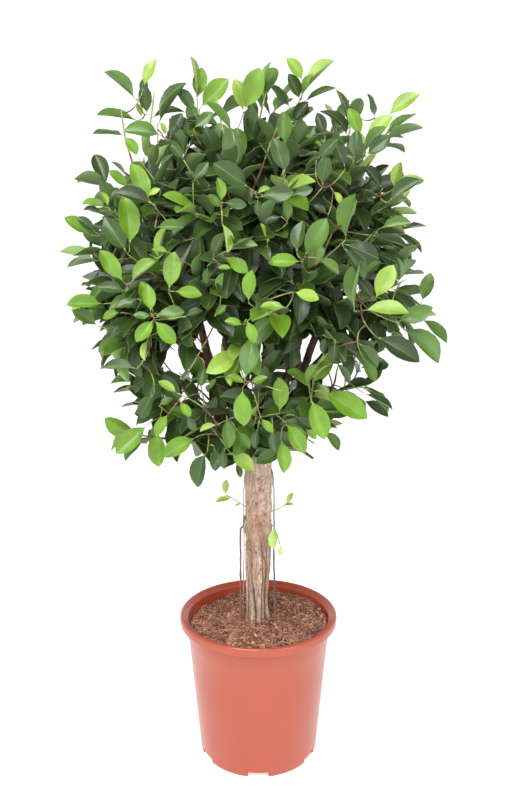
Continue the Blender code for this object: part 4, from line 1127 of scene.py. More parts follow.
# ---------------------------------------------------------------- aerial roots
def make_aerial_root(name, finish):
    """A hanging root with its kinks and thick knuckles."""
    azimuth, top, radius, (out_middle, out_foot) = AERIAL_ROOTS[name]
    foot = MIX_CROWN + GAP
    count = 70
    share = np.linspace(0.0, 1.0, count)
    height = top + (foot - top) * share
    hang = np.interp(share, (0.0, ROOT_SWING, 0.5, 1.0), (0.0, out_middle, out_middle, out_foot))
    turn = azimuth + 3.0 * np.sin(share * 9.0)
    nearest = np.max([trunk_radius(turn + d, height) for d in (-12, -6, 0, 6, 12)], axis=0)
    out = np.maximum(hang, nearest + radius + GAP * 2)
    out = out - (radius * 1.6) * (1.0 - smooth_step(0.0, 0.05, share))
    a = np.radians(turn)
    line = np.stack([out * np.cos(a), out * np.sin(a), height], axis=-1)
    kink = noise_at(line, 60.0, azimuth) * 0.0007 * np.sin(share * math.pi)
    line = line + np.stack([kink, -kink, kink * 0.0], axis=-1)
    radii = radius * (1.0 + 0.5 * smooth_step(0.75, 1.0, share) + 0.25 * noise_at(line, 90.0, 4.0))
    radii = radii * (1.0 + 0.3 * np.exp(-(((share - 0.04) / 0.03) ** 2)))
    slim = ROOT_TOPS.get(name, 1.0)
    radii = radii * (slim + (1.0 - slim) * smooth_step(0.1, 0.6, share))
    build = Build()
    build.add(tube_points(line, radii, 9), tube_faces(count, 9))
    return settle(build.piece(name + "_bark", [finish]), "bark", name)


# ---------------------------------------------------------------- leaves
def leaf_template(arch, fold, twist, wave):
    """Points of a leaf of unit length along +Y with its upper side up: a stalk, then a closed thin blade.

    Each ring has 11 points: 6 over the upper side, the middle two of them along the midrib, and 5 under it.
    """
    across = (-1.0, -0.52, -0.026, 0.026, 0.52, 1.0, 1.0, 0.52, 0.0, -0.52, -1.0)
    upper = (1, 1, 1, 1, 1, 1, -1, -1, -1, -1, -1)
    rings = []
    for y in (-STALK, -STALK * 0.45):
        a = [math.radians(d) for d in (-75, -40, -12, 12, 40, 75, 120, 150, 180, 210, 240)]
        rings.append([(math.sin(t) * 0.012, y, math.cos(t) * 0.012 + 0.3 * (y + STALK * 0.45)) for t in a])
    for share, width in LEAF_RINGS:
        half = width * 0.5
        thick = 0.0055 * (1.0 if share < 0.9 else 0.7)
        drop = -arch * share**2
        turn = twist * (share - 0.3)
        ring = []
        for x, side in zip(across, upper):
            rise = abs(x) ** 1.7 * half * math.tan(fold) * 1.25 * (1.0 - 0.4 * share)
            rise += wave * half * abs(x) * math.sin(share * 8.0 + (1.0 if x > 0 else 2.2))
            ridge = 0.006 if abs(x) < 0.1 and side < 0 else 0.0
            px, pz = x * half, rise + side * thick - ridge
            ring.append((px * math.cos(turn) - pz * math.sin(turn), share * (1.0 - 0.25 * arch),
                         px * math.sin(turn) + pz * math.cos(turn) + drop))
        rings.append(ring)
    return np.array(rings).reshape(-1, 3)


LEAF_RING_COUNT = len(LEAF_RINGS) + 2
LEAF_SIDES = 11
KINDS_ROUND = (0, 0, 2, 0, 0, 3, 1, 1, 1, 1, 3)  # upper side, midrib, margin and underside


def leaf_faces():
    """A leaf's faces, split along the same diagonals above and below so that neither side pokes through."""
    n = LEAF_SIDES
    triangles = []
    for low in range(0, (LEAF_RING_COUNT - 1) * n, n):
        for s in range(n):
            t = (s + 1) % n
            if s < 6:
                triangles += [(low + s, low + t, low + t + n), (low + s, low + t + n, low + s + n)]
            else:
                triangles += [(low + s, low + t, low + s + n), (low + t, low + t + n, low + s + n)]
    ends = [*reversed(range(n)), *range((LEAF_RING_COUNT - 1) * n, LEAF_RING_COUNT * n)]
    return np.array([*np.ravel(triangles), *ends]), np.array([3] * len(triangles) + [n, n])


def leaf_kinds():
    """For each face of a leaf: 0 upper side, 1 underside, 2 midrib, 3 stalk or margin."""
    stalk = [3] * (2 * 2 * LEAF_SIDES)
    return np.array(stalk + list(np.repeat(KINDS_ROUND, 2)) * (LEAF_RING_COUNT - 3) + [3, 3])


class Leaves:
    """Collects leaves for one mass, and lays them all at once."""

    def __init__(self, templates):
        self.templates = templates
        self.rows = []

    def add(self, root, heading, face, length, width, shade, variant):
        self.rows.append((root, heading, face, length, width, shade, variant))

    def fill(self, build):
        faces, kinds = leaf_faces(), leaf_kinds()
        slots = np.array([(s, 5, 7, 9) if s < 3 else (s, 6, 8, 10) for s in range(len(SHADES))])
        for root, heading, face, length, width, shade, variant in self.rows:
            y = heading.normalized()
            x = y.cross(face).normalized()
            z = x.cross(y)
            points = self.templates[variant] * np.array((width, length, (length + width) / 2))
            points = points @ np.array((x, y, z)) + np.array(root)
            build.add(points, faces, slots[shade][kinds])


def leaf_finishes(settings):
    """Upper sides by shade, then undersides, midribs and stalks, each of old and of young leaves."""
    made = [leaf_finish("leaf_" + shade, colour, 0.30 + 0.02 * i, 0.0)
            for i, (shade, colour) in enumerate(zip(SHADES, colours(settings, *SHADES)))]
    old, young = colours(settings, "middle", "bright")
    made.append(leaf_finish("leaf_under_old", between(old, OLD_UNDERSIDE, 0.5), 0.55, 0.0))
    made.append(leaf_finish("leaf_under_young", between(young, YOUNG_UNDERSIDE, 0.5), 0.52, 0.0))
    for name, share in (("midrib", 0.12), ("stalk", 0.45)):
        for age, colour in (("old", old), ("young", young)):
            made.append(leaf_finish(f"{name}_{age}", between(colour, PALE_VEIN, share), 0.5, 0.0))
    return made


# ---------------------------------------------------------------- crown
def crown_reach(way):
    """How far the crown's outline lies from its middle in a direction."""
    high, n = CROWN_RISE, CROWN_TOP_SQUARENESS
    if way.z < 0:
        high, n = CROWN_DROP, CROWN_SKIRT_SQUARENESS
    flat = math.hypot(way.x, way.y) / CROWN_HALF_WIDTH
    egg = (flat**n + abs(way.z / high) ** n) ** (-1.0 / n)
    loss = SKIRT_LOSS + SKIRT_LOSS_RIGHT * max(0.0, way.x)
    egg *= 1.0 - loss * float(smooth_step(0.1, 0.7, -way.z))
    return egg * (1.0 + CROWN_LUMP * noise.noise(way * CROWN_LUMPS + Vector((SEED, 0, 0))))


def even_directions(count):
    """count directions spread evenly over a sphere by the golden angle, from the top down."""
    for i in range(count):
        z = 1.0 - 2.0 * (i + 0.5) / count
        out = math.sqrt(1.0 - z * z)
        a = math.radians(i * GOLDEN_ANGLE)
        yield Vector((out * math.cos(a), out * math.sin(a), z))


def nearest_heart(hearts, point):
    return min(hearts, key=lambda m: (hearts[m] - point).length)


def share_out_main_tips(hearts):
    """{mass: [(tip, leaves, whether a leader)]} of the twigs that the solids have too."""
    rng = random.Random(SEED)
    tips = {mass: [] for mass in MASSES}
    for share, count, leaf_count in MAIN_SHELLS:
        for way in even_directions(count):
            tip = CROWN_MIDDLE + way * (crown_reach(way) * share - MAIN_INSET)
            if GAPPY_BAND[0] < tip.z < GAPPY_BAND[1] and rng.random() < GAPPY_SKIP:
                continue
            tips[nearest_heart(hearts, tip)].append((tip, leaf_count, False))
    for mass, rows in LEADERS.items():
        for row in rows:
            last = place(*row)
            tip = last - (last - hearts[mass]).normalized() * LEADER_LEAF
            tips[mass].append((tip, LEADER_LEAVES, True))
    return tips


def share_out_fine_tips(hearts):
    """{mass: [(tip, leaves)]} of the finer twigs between the main ones."""
    rng = random.Random(SEED + 3)
    tips = {mass: [] for mass in MASSES}
    for share, count, leaf_count in FINE_SHELLS:
        for way in even_directions(count):
            tuft = 1.0 - TUFT_DEPTH * max(0.0, 0.6 + 2.0 * noise.noise(way * TUFTS))
            tip = CROWN_MIDDLE + way * (crown_reach(way) * share * tuft - FINE_INSET)
            tip += Vector([rng.uniform(-TIP_SCATTER, TIP_SCATTER) for _ in range(3)])
            if FINE_GAPPY_BAND[0] < tip.z < FINE_GAPPY_BAND[1] and rng.random() < FINE_GAPPY_SKIP:
                continue
            tips[nearest_heart(hearts, tip)].append((tip, leaf_count))
    return tips


def twig_line(start, away, tip, count, wander, turn_up=0.13):
    """A twig's line: it leaves start along away and turns up towards the light, or hangs in the low crown."""
    length = (tip - start).length
    lift = -turn_up if tip.z > HANG_BELOW else 0.09
    bow = (away * 0.16 + UP * lift) * length * 0.5
    line = bent(start, bow, tip, count)
    for k in range(1, count - 1):
        sway = wander * math.sin(math.pi * k / (count - 1))
        line[k] = line[k] + noise.noise_vector(line[k] * 30.0) * sway
    return line


def point_along(line, back):
    """The point and heading at a distance back from a line's end."""
    for a, b in zip(reversed(line[:-1]), reversed(line[1:])):
        step = (b - a).length
        if back <= step or a is line[0]:
            return b.lerp(a, min(1.0, back / step)), (b - a).normalized()
        back -= step
    return line[0], (line[1] - line[0]).normalized()


def twig_cost(spot, root, heading):
    """How far a leaf's root lies from a spot on the wood, less where a twig from there runs on into it."""
    way = root - spot
    return way.length - 0.45 * way.dot(heading)


def sighted(point):
    """X and Z where a point seen from the front falls on the crown's middle plane, and its distance."""
    ray = point - SIGHT_POINT
    t = -SIGHT_POINT.y / ray.y
    return SIGHT_POINT.x + ray.x * t, SIGHT_POINT.z + ray.z * t, ray.length


def in_opening(point):
    """Whether a point lies in one of the openings that the crown is seen through."""
    x, z, _ = sighted(point)
    return any(((x - a) / w) ** 2 + ((z - b) / h) ** 2 < 1.0 for a, b, w, h in OPENINGS)


def front_leaf(rng, x, z, length, turn, roll, shade):
    """Root, heading, face, blade length and shade of one of FRONT_LEAVES, laid on the crown's outline."""
    ray = Vector((x * MM, 0.0, z * MM)) - SIGHT_POINT
    depth = 1.0
    for step in range(60):
        near = 0.70 + step * 0.005
        out = SIGHT_POINT + ray * near - CROWN_MIDDLE
        if out.length < crown_reach(out.normalized()) * 0.98:
            depth = near
            break
    depth += rng.uniform(0.0, 0.015)
    sight = ray.normalized()
    right = sight.cross(UP).normalized()
    a, tilt = math.radians(turn), math.radians(roll)
    heading = (right * math.cos(a) + right.cross(sight) * math.sin(a) - sight * 0.12).normalized()
    aside = heading.cross(sight).normalized()
    aside = aside if aside.z > 0 else -aside
    face = aside * math.sin(tilt) - sight * math.cos(tilt)
    blade = length * MM * depth * 1.12 / (1.0 + STALK)
    return SIGHT_POINT + ray * depth, heading, face, blade, shade


class Crowd:
    """The middles of the leaves so far, in a coarse grid, to keep new ones from growing through them."""

    CELL = 0.03

    def __init__(self):
        self.cells = {}

    def key(self, point):
        return tuple(int(math.floor(c / self.CELL)) for c in point)

    def add(self, point):
        self.cells.setdefault(self.key(point), []).append(point)

    def room(self, point):
        i, j, k = self.key(point)
        near = self.CELL
        for a in (i - 1, i, i + 1):
            for b in (j - 1, j, j + 1):
                for c in (k - 1, k, k + 1):
                    for other in self.cells.get((a, b, c), ()):
                        near = min(near, (other - point).length)
        return near


class Grower:
    """Grows one mass after another: stem, main twigs, fine twigs, leaves and buds."""

    def __init__(self, settings, plans, hearts):
        self.settings = settings
        self.plans = plans
        self.hearts = hearts
        self.crowd = Crowd()
        self.wood = [p for start, bow, tip, _, _ in plans.values() for p in bent(start, bow, tip, 12)]
        self.wood += [Vector((0, 0, TRUNK_FOOT + 0.02 * k)) for k in range(19)]
        self.templates = [leaf_template(*shape) for shape in LEAF_SHAPES]
        rng = random.Random(SEED + 4)
        self.front = [front_leaf(rng, *row) for row in FRONT_LEAVES]
        marks = []
        for (root, heading, _, blade, _), row in zip(self.front, FRONT_LEAVES):
            middle = root + heading * blade * 0.66
            self.crowd.add(middle)
            x, z, away = sighted(middle)
            turn, half = math.radians(row[3]), row[2] * MM * 0.5
            wide = half * (0.12 + settings.leaf_shape * math.cos(math.radians(row[4])))
            marks.append((x, z, math.cos(turn), math.sin(turn), half * 1.1, wide * 1.3, away))
        self.marks = np.array(marks).T

    def hides_front_leaf(self, point):
        """Whether a point lies in front of one of the leaves that stand out."""
        x, z, away = sighted(point)
        cx, cz, ux, uz, half, wide, distance = self.marks
        along, across = (x - cx) * ux + (z - cz) * uz, (z - cz) * ux - (x - cx) * uz
        within = (along / half) ** 2 + (across / wide) ** 2 < 1.0
        return bool(np.any(within & (away < distance + 0.008)))

    def leaf_fits(self, root, heading, length, leader):
        """Whether a leaf stays in the box and the outline, and clear of openings, front leaves and wood."""
        tip = root + heading * length * 1.1
        middle = root + heading * length * 0.6
        low, high = CAD_BOX
        if any(tip[i] < low[i] - BOX_SLACK or tip[i] > high[i] + BOX_SLACK for i in range(3)):
            return False
        out = tip - CROWN_MIDDLE
        if not leader and out.length > crown_reach(out.normalized()):
            return False
        if any(in_opening(p) or self.hides_front_leaf(p) for p in (root, middle, tip)):
            return False
        return all((w - middle).length > WOOD_CLEARANCE for w in self.wood)

    def leaves_on(self, rng, leaves, line, number, young, leader):
        """Leaves that alternate round a twig from its tip back, older and darker further down."""
        before = len(leaves.rows)
        spin = rng.uniform(0, 360)
        spacing = self.settings.leaf_spacing
        back = 0.002
        for k in range(number):
            point, along = point_along(line, back)
            back += spacing * rng.uniform(0.8, 1.25) * (0.55 if k == 0 else 1.0)
            age = k / max(1, number - 1)
            size = (0.78 + 0.34 * math.sin(math.pi * (0.18 + 0.62 * age))) * rng.uniform(0.86, 1.12)
            length = self.settings.leaf_length * size
            width = length * self.settings.leaf_shape * rng.uniform(0.92, 1.10)
            outward = (point - CROWN_MIDDLE).normalized()
            best = None
            for attempt in range(5):
                turn = math.radians(spin + rng.uniform(-25, 25) + 70 * attempt)
                side = Matrix.Rotation(turn, 3, along) @ along.orthogonal().normalized()
                angle = math.radians(24 + 38 * age + rng.uniform(-8, 8))
                heading = along * math.cos(angle) + side * math.sin(angle)
                droop = (0.10 if point.z > 0.95 else 0.28) * (0.4 + age)
                heading = (heading + outward * 0.15 - UP * droop).normalized()
                if not self.leaf_fits(point, heading, length, leader):
                    continue
                room = self.crowd.room(point + heading * length * 0.6)
                if best is None or room > best[0]:
                    best = (room, heading, side)
                if room > GOOD_ROOM:
                    break
            spin += GOLDEN_ANGLE
            if best is None or best[0] < LEAST_ROOM:
                continue
            _, heading, side = best
            apex = along - heading * along.dot(heading)
            light = outward * 0.75 + UP * 0.85 + Vector([rng.uniform(-0.45, 0.45) for _ in range(3)])
            face = apex * 0.5 + light
            if abs(face.normalized().dot(heading)) > 0.95:
                face = side
            # Painted light from the floor: no leaf low in the crown takes the deepest shade.
            darkest = 1 if point.z < FLOOR_BOUNCE_BELOW else 0
            shade = max(darkest, min(len(SHADES) - 1, young - int(age * 2.9 + rng.random() * 0.9)))
            root = point + heading * length * 0.15
            leaves.add(root, heading, face, length, width, shade, rng.randrange(len(self.templates)))
            self.crowd.add(point + heading * length * 0.6)
        return len(leaves.rows) - before

    def spray_shade(self, rng, tip, leader, inner):
        """Which shade a spray's youngest leaves have."""
        # Inner sprays take darker shades as painted shade inside the crown; low inner ones take lighter
        # shades as painted light from the floor below.
        if inner:
            return rng.choices((1, 2, 3) if tip.z < 0.68 else (0, 1, 2), (4, 5, 1))[0]
        if leader:
            return rng.choices((2, 3, 4), (2, 4, 5))[0]
        weights = blend_rows(SPRAY_WEIGHTS, tip.z)
        return rng.choices((1, 2, 3, 4), weights)[0]

    def add_twig(self, build, line, radii, green_from):
        """A twig whose bark is green beyond a share of its length."""
        count, sides = len(line), 5
        points = np.array(line)
        knobs = noise_at(points, 140.0, 2.0) * 0.12
        radii = np.interp(np.linspace(0, 1, count), np.linspace(0, 1, len(radii)), radii) * (1.0 + knobs)
        slots = np.repeat([1 if (k + 0.5) / (count - 1) > green_from else 0 for k in range(count - 1)], sides)
        build.add(tube_points(points, radii, sides), tube_faces(count, sides), np.append(slots, (0, 1)))

    def add_bud(self, build, line, length):
        tip, along = line[-1], (line[-1] - line[-2]).normalized()
        points = np.array([tip + along * length * s for s in (-0.1, 0.12, 0.4, 0.75, 1.0)])
        radii = np.array((0.6, 1.0, 0.85, 0.45, 0.06)) * length * 0.085
        build.add(tube_points(points, radii, 5), tube_faces(5, 5), 2)

    def grow(self, limb, mass, main_tips, fine_tips, twig_finishes, leaf_materials):
        """Grows one mass at the end of its limb, and gives the number of its leaves."""
        rng = random.Random(f"{SEED} {mass}")
        _, _, limb_tip, (_, limb_radius), heading = self.plans[limb]
        hub = limb_tip + heading * STEM_LENGTH * 0.8
        twigs, leaves = Build(), Leaves(self.templates)
        stem = twig_line(limb_tip - heading * 0.004, heading, hub, 10, 0.002)
        self.add_twig(twigs, stem, (limb_radius, limb_radius * 0.75, 0.0022), 2.0)
        mains = []
        for i, (tip, number, leader) in enumerate(main_tips):
            share = 0.1 + 0.85 * (i + 0.5) / len(main_tips)
            start, _ = point_along(stem, (1.0 - share) * STEM_LENGTH * 0.8)
            line = twig_line(start, heading, tip, 12, 0.004)
            inner = (tip - CROWN_MIDDLE).length < 0.75 * crown_reach((tip - CROWN_MIDDLE).normalized())
            shade = self.spray_shade(rng, tip, leader, inner)
            if self.leaves_on(rng, leaves, line, number, shade, leader):
                self.add_bud(twigs, line, rng.uniform(0.009, 0.014))
            else:
                line = line[:8]
            self.add_twig(twigs, line, (0.0023, 0.0017, 0.0012), 0.60 if leader else 0.72)
            mains.append(line)
        carriers = mains or [stem]
        wood = list(carriers)
        for tip, number in fine_tips:
            choices = []
            for line in carriers:
                for back in (0.035, 0.055, 0.075, 0.10):
                    spot, along = point_along(line, back)
                    way = tip - spot
                    if way.length > 0.015 and way.normalized().dot(along) > 0.3:
                        choices.append((way.length, spot, along))
            if not choices:
                choices.append((1.0, hub, heading))
            _, spot, along = min(choices, key=lambda c: c[0])
            line = twig_line(spot, along, tip, 8, 0.003, 0.30)
            inner = (tip - CROWN_MIDDLE).length < 0.78 * crown_reach((tip - CROWN_MIDDLE).normalized())
            shade = self.spray_shade(rng, tip, False, inner)
            if self.leaves_on(rng, leaves, line, number, shade, False):
                self.add_twig(twigs, line, (0.0014, 0.0011, 0.0009), 0.5)
                self.add_bud(twigs, line, rng.uniform(0.007, 0.012))
                wood.append(line)
        for root, heading_out, face, blade, shade in self.front:
            if nearest_heart(self.hearts, root) != mass:
                continue
            backs = (0.0, 0.008, 0.018, 0.03, 0.05, 0.08)
            spots = [point_along(line, back)[0] for line in wood for back in backs]
            spot = min(spots, key=lambda found: twig_cost(found, root, heading_out))
            far = (spot - root).length
            inwards = (CROWN_MIDDLE - root).normalized()
            bow = inwards * min(far * 0.12, 0.008) - heading_out * min(far * 0.10, 0.004)
            line = bent(spot, bow, root, 7)
            self.add_twig(twigs, line, (0.0011, 0.0009, 0.0007), 0.5)
            wood.append(line)
            width = blade * self.settings.leaf_shape * rng.uniform(0.98, 1.12)
            flat = abs(face.y) < 0.75
            leaves.add(root + heading_out * blade * STALK, heading_out, face, blade, width, shade,
                       rng.choice((0, 3)) if flat else rng.randrange(len(self.templates)))
        settle(twigs.piece("twigs_" + mass, twig_finishes), "foliage", "foliage_" + mass)
        blades = Build()
        leaves.fill(blades)
        settle(blades.piece("leaves_" + mass, leaf_materials, sharp=55.0), "foliage")
        return len(leaves.rows)


# ---------------------------------------------------------------- young shoots on the bare trunk
def make_water_shoot(name, templates, finishes):
    """A young shoot: a thin curved stem and its soft leaves."""
    azimuth, height, reach, rise = WATER_SHOOTS[name]
    bark = float(trunk_radius(np.float64(azimuth), np.float64(height)))
    start, tip = place(azimuth, bark * 0.94, height), place(azimuth, bark + reach, height + rise)
    run_on, bow = SHOOT_STEMS[name]
    line = bent(start, Vector(bow), start.lerp(tip, run_on), 9)
    build = Build()
    build.add(tube_points(np.array(line), np.linspace(0.0011, 0.0008, 9), 7), tube_faces(9, 7), 1)
    slots = np.array((0, 2, 0, 1))[leaf_kinds()]
    for i, (share, turn, length, roll) in enumerate(SHOOT_LEAVES[name]):
        spot, _ = point_along(line, (1.0 - share) * (tip - start).length * run_on)
        _, heading, face, _, _ = front_leaf(random.Random(i), 0, SHOOT_SIGHT_HEIGHT, 1, turn, roll, None)
        x = heading.cross(face).normalized()
        points = templates[i] * np.array((length * 0.5, length, length * 0.8))
        root = spot + heading * length * STALK * 0.4
        build.add(points @ np.array((x, heading, x.cross(heading))) + np.array(root), leaf_faces(), slots)
    return settle(build.piece(name + "_growth", finishes, sharp=55.0), "young_leaves", name)


# ---------------------------------------------------------------- sizes and colours
def labelled(name, description, default):
    return {"name": name, "description": description, "default": default}


def amount(*label, least=0):
    return IntProperty(**labelled(*label), min=least)


def ratio(*label, least=0.0):
    return FloatProperty(**labelled(*label), min=least)


def metres(*label):
    return FloatProperty(**labelled(*label), min=0.0001, unit="LENGTH")


def watts(*label):
    return FloatProperty(**labelled(*label), unit="POWER")


def tint(*label):
    return FloatVectorProperty(**labelled(*label), subtype="COLOR", size=3, min=0.0, max=1.0)


class FigPotSettings(bpy.types.PropertyGroup):
    segments: amount("Segments", "Steps round the pot", 160, least=24)
    colour: tint("Plastic", "Colour of the pot's plastic", (0.358, 0.062, 0.028))


class FigMixSettings(bpy.types.PropertyGroup):
    fibre_count: amount("Fibres", "Husk fibres on the mix", 3400)
    chip_count: amount("Chips", "Chips and crumbs on the mix", 1100)
    dark_colour: tint("Damp husk", "The darkest fibres", (0.125, 0.054, 0.036))
    light_colour: tint("Dry husk", "The common light fibres", (0.56, 0.285, 0.190))


class FigBarkSettings(bpy.types.PropertyGroup):
    trunk_sides: amount("Trunk sides", "Points round the trunk", 200, least=24)
    trunk_rings: amount("Trunk rings", "Rings up the trunk", 340, least=24)
    relief: ratio("Relief", "How deep the bark's roughness goes", 1.0)
    light_colour: tint("Pale bark", "The trunk's common bark", (0.60, 0.468, 0.366))
    # This colour also serves as painted shade, in the trunk's grooves and towards the crown.
    dark_colour: tint("Groove", "The trunk's grooves and pores", (0.14, 0.080, 0.060))
    brown_colour: tint("Root bark", "Bark of the roots fused to the trunk", (0.36, 0.205, 0.150))
    bough_light_colour: tint("Bough, light", "Lighter patches of the boughs' bark", (0.24, 0.135, 0.095))
    bough_dark_colour: tint("Bough, dark", "The boughs' common bark", (0.105, 0.052, 0.036))
    root_colour: tint("Hanging root", "Bark of the free aerial roots", (0.20, 0.115, 0.095))
    pale_root_colour: tint("Pale root", "Bark of the thin pale root", (0.46, 0.45, 0.35))
    dark_root_colour: tint("Dark root", "Bark of the old hanging root", (0.105, 0.088, 0.080))


class FigLeafSettings(bpy.types.PropertyGroup):
    leaf_length: metres("Leaf length", "Length of a full-grown blade", 0.048)
    leaf_shape: ratio("Leaf shape", "A blade's width over its length", 0.50, least=0.1)
    leaf_spacing: metres("Leaf spacing", "Between leaves along a twig", 0.0105)
    deep_colour: tint("Deep", "The oldest leaves", (0.023, 0.043, 0.011))
    dark_colour: tint("Dark", "Old leaves", (0.037, 0.076, 0.015))
    middle_colour: tint("Middle", "Full-grown leaves", (0.070, 0.152, 0.017))
    bright_colour: tint("Bright", "Leaves of this season", (0.130, 0.262, 0.018))
    young_colour: tint("Young", "The newest leaves", (0.235, 0.365, 0.050))
    twig_colour: tint("Twig", "Bark of the twigs", (0.16, 0.075, 0.048))
    shoot_colour: tint("Green shoot", "Stems of this season", (0.26, 0.30, 0.085))


class FigStageSettings(bpy.types.PropertyGroup):
    camera_pitch: FloatProperty(
        **labelled("Camera pitch", "How far the camera looks down", math.radians(11.2)), subtype="ANGLE"
    )
    camera_distance: metres("Camera distance", "From the pot's axis, along Y", 1.290)
    camera_height: metres("Camera height", "Above the floor", 0.878)
    key_power: watts("Key light", "Power of the main soft light", 70.0)
    fill_power: watts("Fill light", "Power of the second light", 16.0)
    horizon_strength: ratio("Backdrop", "Light from the backdrop", 1.10)
    ceiling_strength: ratio("Ceiling", "Light from above", 0.50)
    floor_glow: ratio("Floor glow", "Light from the lit floor", 0.52)


# ---------------------------------------------------------------- operators
class FIG_OT_pot(bpy.types.Operator):
    """Moulds the nursery pot"""

    bl_idname = "fig.pot"
    bl_label = "Pot"

    def execute(self, context):
        make_pot(context.scene.fig_pot)
        return {"FINISHED"}


class FIG_OT_mix(bpy.types.Operator):
    """Fills the pot with mix, fibres and chips"""

    bl_idname = "fig.mix"
    bl_label = "Potting mix"

    def execute(self, context):
        make_mix(context.scene.fig_mix)
        return {"FINISHED"}


class FIG_OT_trunk(bpy.types.Operator):
    """Covers the trunk with its bark"""

    bl_idname = "fig.trunk"
    bl_label = "Trunk"

    def execute(self, context):
        bark = context.scene.fig_bark
        make_trunk(bark, trunk_finish(*colours(bark, "light", "dark", "brown")))
        return {"FINISHED"}


class FIG_OT_limbs(bpy.types.Operator):
    """Covers the boughs and branches with their bark"""

    bl_idname = "fig.limbs"
    bl_label = "Boughs and branches"

    def execute(self, context):
        finish = bough_finish(*colours(context.scene.fig_bark, "bough_light", "bough_dark"))
        for name, plan in plan_limbs().items():
            make_limb(name, plan, finish)
        return {"FINISHED"}


class FIG_OT_roots(bpy.types.Operator):
    """Hangs the free aerial roots beside the trunk"""

    bl_idname = "fig.roots"
    bl_label = "Aerial roots"

    def execute(self, context):
        soil = between(*colours(context.scene.fig_mix, "dark", "light"), 0.35)
        plain, pale, dark = colours(context.scene.fig_bark, "root", "pale_root", "dark_root")
        common = plain_bark_finish("root_bark", plain, soil=soil)
        others = {
            "aerial_root_left_thin": plain_bark_finish("pale_root_bark", pale, soil=soil),
            "aerial_root_right": plain_bark_finish("dark_root_bark", dark, soil=soil),
        }
        for name in AERIAL_ROOTS:
            make_aerial_root(name, others.get(name, common))
        return {"FINISHED"}


class FIG_OT_crown(bpy.types.Operator):
    """Grows the crown's twigs and leaves"""

    bl_idname = "fig.crown"
    bl_label = "Crown"

    def execute(self, context):
        settings = context.scene.fig_leaf
        noise.seed_set(NOISE_SEED)
        plans = plan_limbs()
        hearts = {mass: heart(mass) for mass in MASSES}
        main_tips, fine_tips = share_out_main_tips(hearts), share_out_fine_tips(hearts)
        leaf_materials = leaf_finishes(settings)
        twig, shoot, young = colours(settings, "twig", "shoot", "young")
        twig_finishes = [
            plain_bark_finish("twig_bark", twig, 0.7),
            plain_bark_finish("green_shoot", shoot, 0.6),
            leaf_finish("bud", young, 0.45, 0.2),
        ]
        grower = Grower(settings, plans, hearts)
        total = 0
        for limb, row in LIMBS.items():
            mass = row[-1]
            total += grower.grow(limb, mass, main_tips[mass], fine_tips[mass], twig_finishes, leaf_materials)
        if total < FEWEST_LEAVES:
            raise RuntimeError(f"the crown grew only {total} leaves")
        return {"FINISHED"}


class FIG_OT_water_shoots(bpy.types.Operator):
    """Grows the young shoots on the bare trunk"""

    bl_idname = "fig.water_shoots"
    bl_label = "Young shoots"

    def execute(self, context):
        young = between(*colours(context.scene.fig_leaf, "young"), PALE_SHOOT, 0.6)
        finishes = [
            leaf_finish("shoot_leaf", young, 0.45, 0.15),
            plain_bark_finish("shoot_stem", SHOOT_STEM, 0.6),
            leaf_finish("shoot_leaf_under", times(young, 0.9), 0.6, 0.0),
        ]
        templates = [leaf_template(*shape) for shape in SHOOT_LEAF_SHAPES]
        for name in WATER_SHOOTS:
            make_water_shoot(name, templates, finishes)
        return {"FINISHED"}


def soft_light(name, spot, target, size, power):
    """A square light at a spot, turned to a target."""
    light = bpy.data.lights.new(name, "AREA")
    light.shape = "SQUARE"
    light.size = size
    light.energy = power
    obj = bpy.data.objects.new(name, light)
    obj.location = spot
    obj.rotation_euler = (Vector(target) - Vector(spot)).to_track_quat("-Z", "Y").to_euler()
    bpy.context.scene.collection.objects.link(obj)


def studio_surroundings(horizon, ceiling):
    """A white backdrop all round under a darker ceiling."""
    world = bpy.data.worlds.new("studio")
    world.use_nodes = True
    nodes, links = world.node_tree.nodes, world.node_tree.links
    way = nodes.new("ShaderNodeTexCoord").outputs["Generated"]
    split = nodes.new("ShaderNodeSeparateXYZ")
    links.new(way, split.inputs[0])
    ramp = nodes.new("ShaderNodeMapRange")
    for key, value in (("From Min", 0.30), ("From Max", 0.62), ("To Min", horizon), ("To Max", ceiling)):
        ramp.inputs[key].default_value = value
    links.new(split.outputs["Z"], ramp.inputs["Value"])
    links.new(ramp.outputs["Result"], nodes["Background"].inputs["Strength"])
    nodes["Background"].inputs["Color"].default_value = (*BACKDROP, 1.0)
    return world


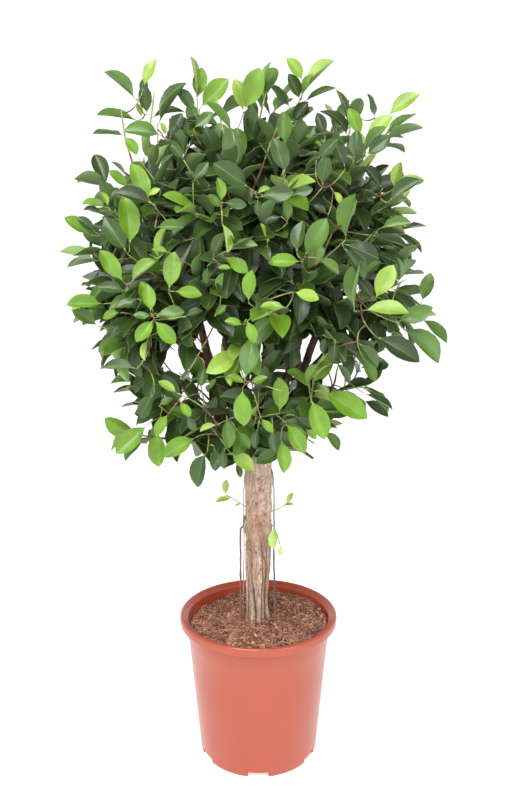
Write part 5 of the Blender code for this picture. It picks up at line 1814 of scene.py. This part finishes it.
class FIG_OT_stage(bpy.types.Operator):
    """Lays the floor and sets the lights, the surroundings and the camera"""

    bl_idname = "fig.stage"
    bl_label = "Stage"

    def execute(self, context):
        settings = context.scene.fig_stage
        floor = Build()
        floor.add(box_points(FLOOR_SIZES) - np.array((0.0, 0.0, FLOOR_DROP)), box_faces())
        paint = Finish("floor_paint", FLOOR_PAINT, 0.6, specular=0.2)
        paint.shader.inputs["Emission Color"].default_value = (*FLOOR_LIGHT, 1.0)
        paint.shader.inputs["Emission Strength"].default_value = settings.floor_glow
        floor = floor.piece("floor", [paint.material], sharp=30.0)
        context.scene.world = studio_surroundings(settings.horizon_strength, settings.ceiling_strength)
        soft_light("key_light", *KEY_LIGHT, settings.key_power)
        soft_light("fill_light", *FILL_LIGHT, settings.fill_power)
        context.scene.view_settings.view_transform = "Standard"
        camera = bpy.data.cameras.new("camera")
        camera.sensor_width = camera.lens = 36.0
        holder = bpy.data.objects.new("camera", camera)
        holder.location = (SIGHT_POINT.x, -settings.camera_distance, settings.camera_height)
        holder.rotation_euler = (math.pi / 2 - settings.camera_pitch, 0.0, math.radians(CAMERA_TURN))
        context.scene.collection.objects.link(holder)
        context.scene.camera = holder
        return {"FINISHED"}


OPERATORS = (
    FIG_OT_pot, FIG_OT_mix, FIG_OT_trunk, FIG_OT_limbs, FIG_OT_roots, FIG_OT_crown, FIG_OT_water_shoots,
    FIG_OT_stage,
)
SETTINGS = {
    "fig_pot": FigPotSettings,
    "fig_mix": FigMixSettings,
    "fig_bark": FigBarkSettings,
    "fig_leaf": FigLeafSettings,
    "fig_stage": FigStageSettings,
}


class FIG_PT_standard(bpy.types.Panel):
    """The fig standard's pieces, sizes and colours"""

    bl_idname = "FIG_PT_standard"
    bl_label = "Fig Standard"
    bl_space_type = "VIEW_3D"
    bl_region_type = "UI"
    bl_category = "Fig Standard"

    def draw(self, context):
        for operator in OPERATORS:
            self.layout.operator(operator.bl_idname)
        for name, group in SETTINGS.items():
            box = self.layout.box()
            settings = getattr(context.scene, name)
            for field in group.__annotations__:
                box.prop(settings, field)


def register():
    for cls in (*SETTINGS.values(), *OPERATORS, FIG_PT_standard):
        bpy.utils.register_class(cls)
    for name, group in SETTINGS.items():
        setattr(bpy.types.Scene, name, PointerProperty(type=group))


def unregister():
    for name in SETTINGS:
        delattr(bpy.types.Scene, name)
    for cls in (FIG_PT_standard, *reversed(OPERATORS), *reversed(SETTINGS.values())):
        bpy.utils.unregister_class(cls)


def main():
    register()
    bpy.ops.fig.stage()
    bpy.ops.fig.pot()
    bpy.ops.fig.mix()
    bpy.ops.fig.trunk()
    bpy.ops.fig.limbs()
    bpy.ops.fig.roots()
    bpy.ops.fig.crown()
    bpy.ops.fig.water_shoots()


if __name__ == "__main__":
    main()
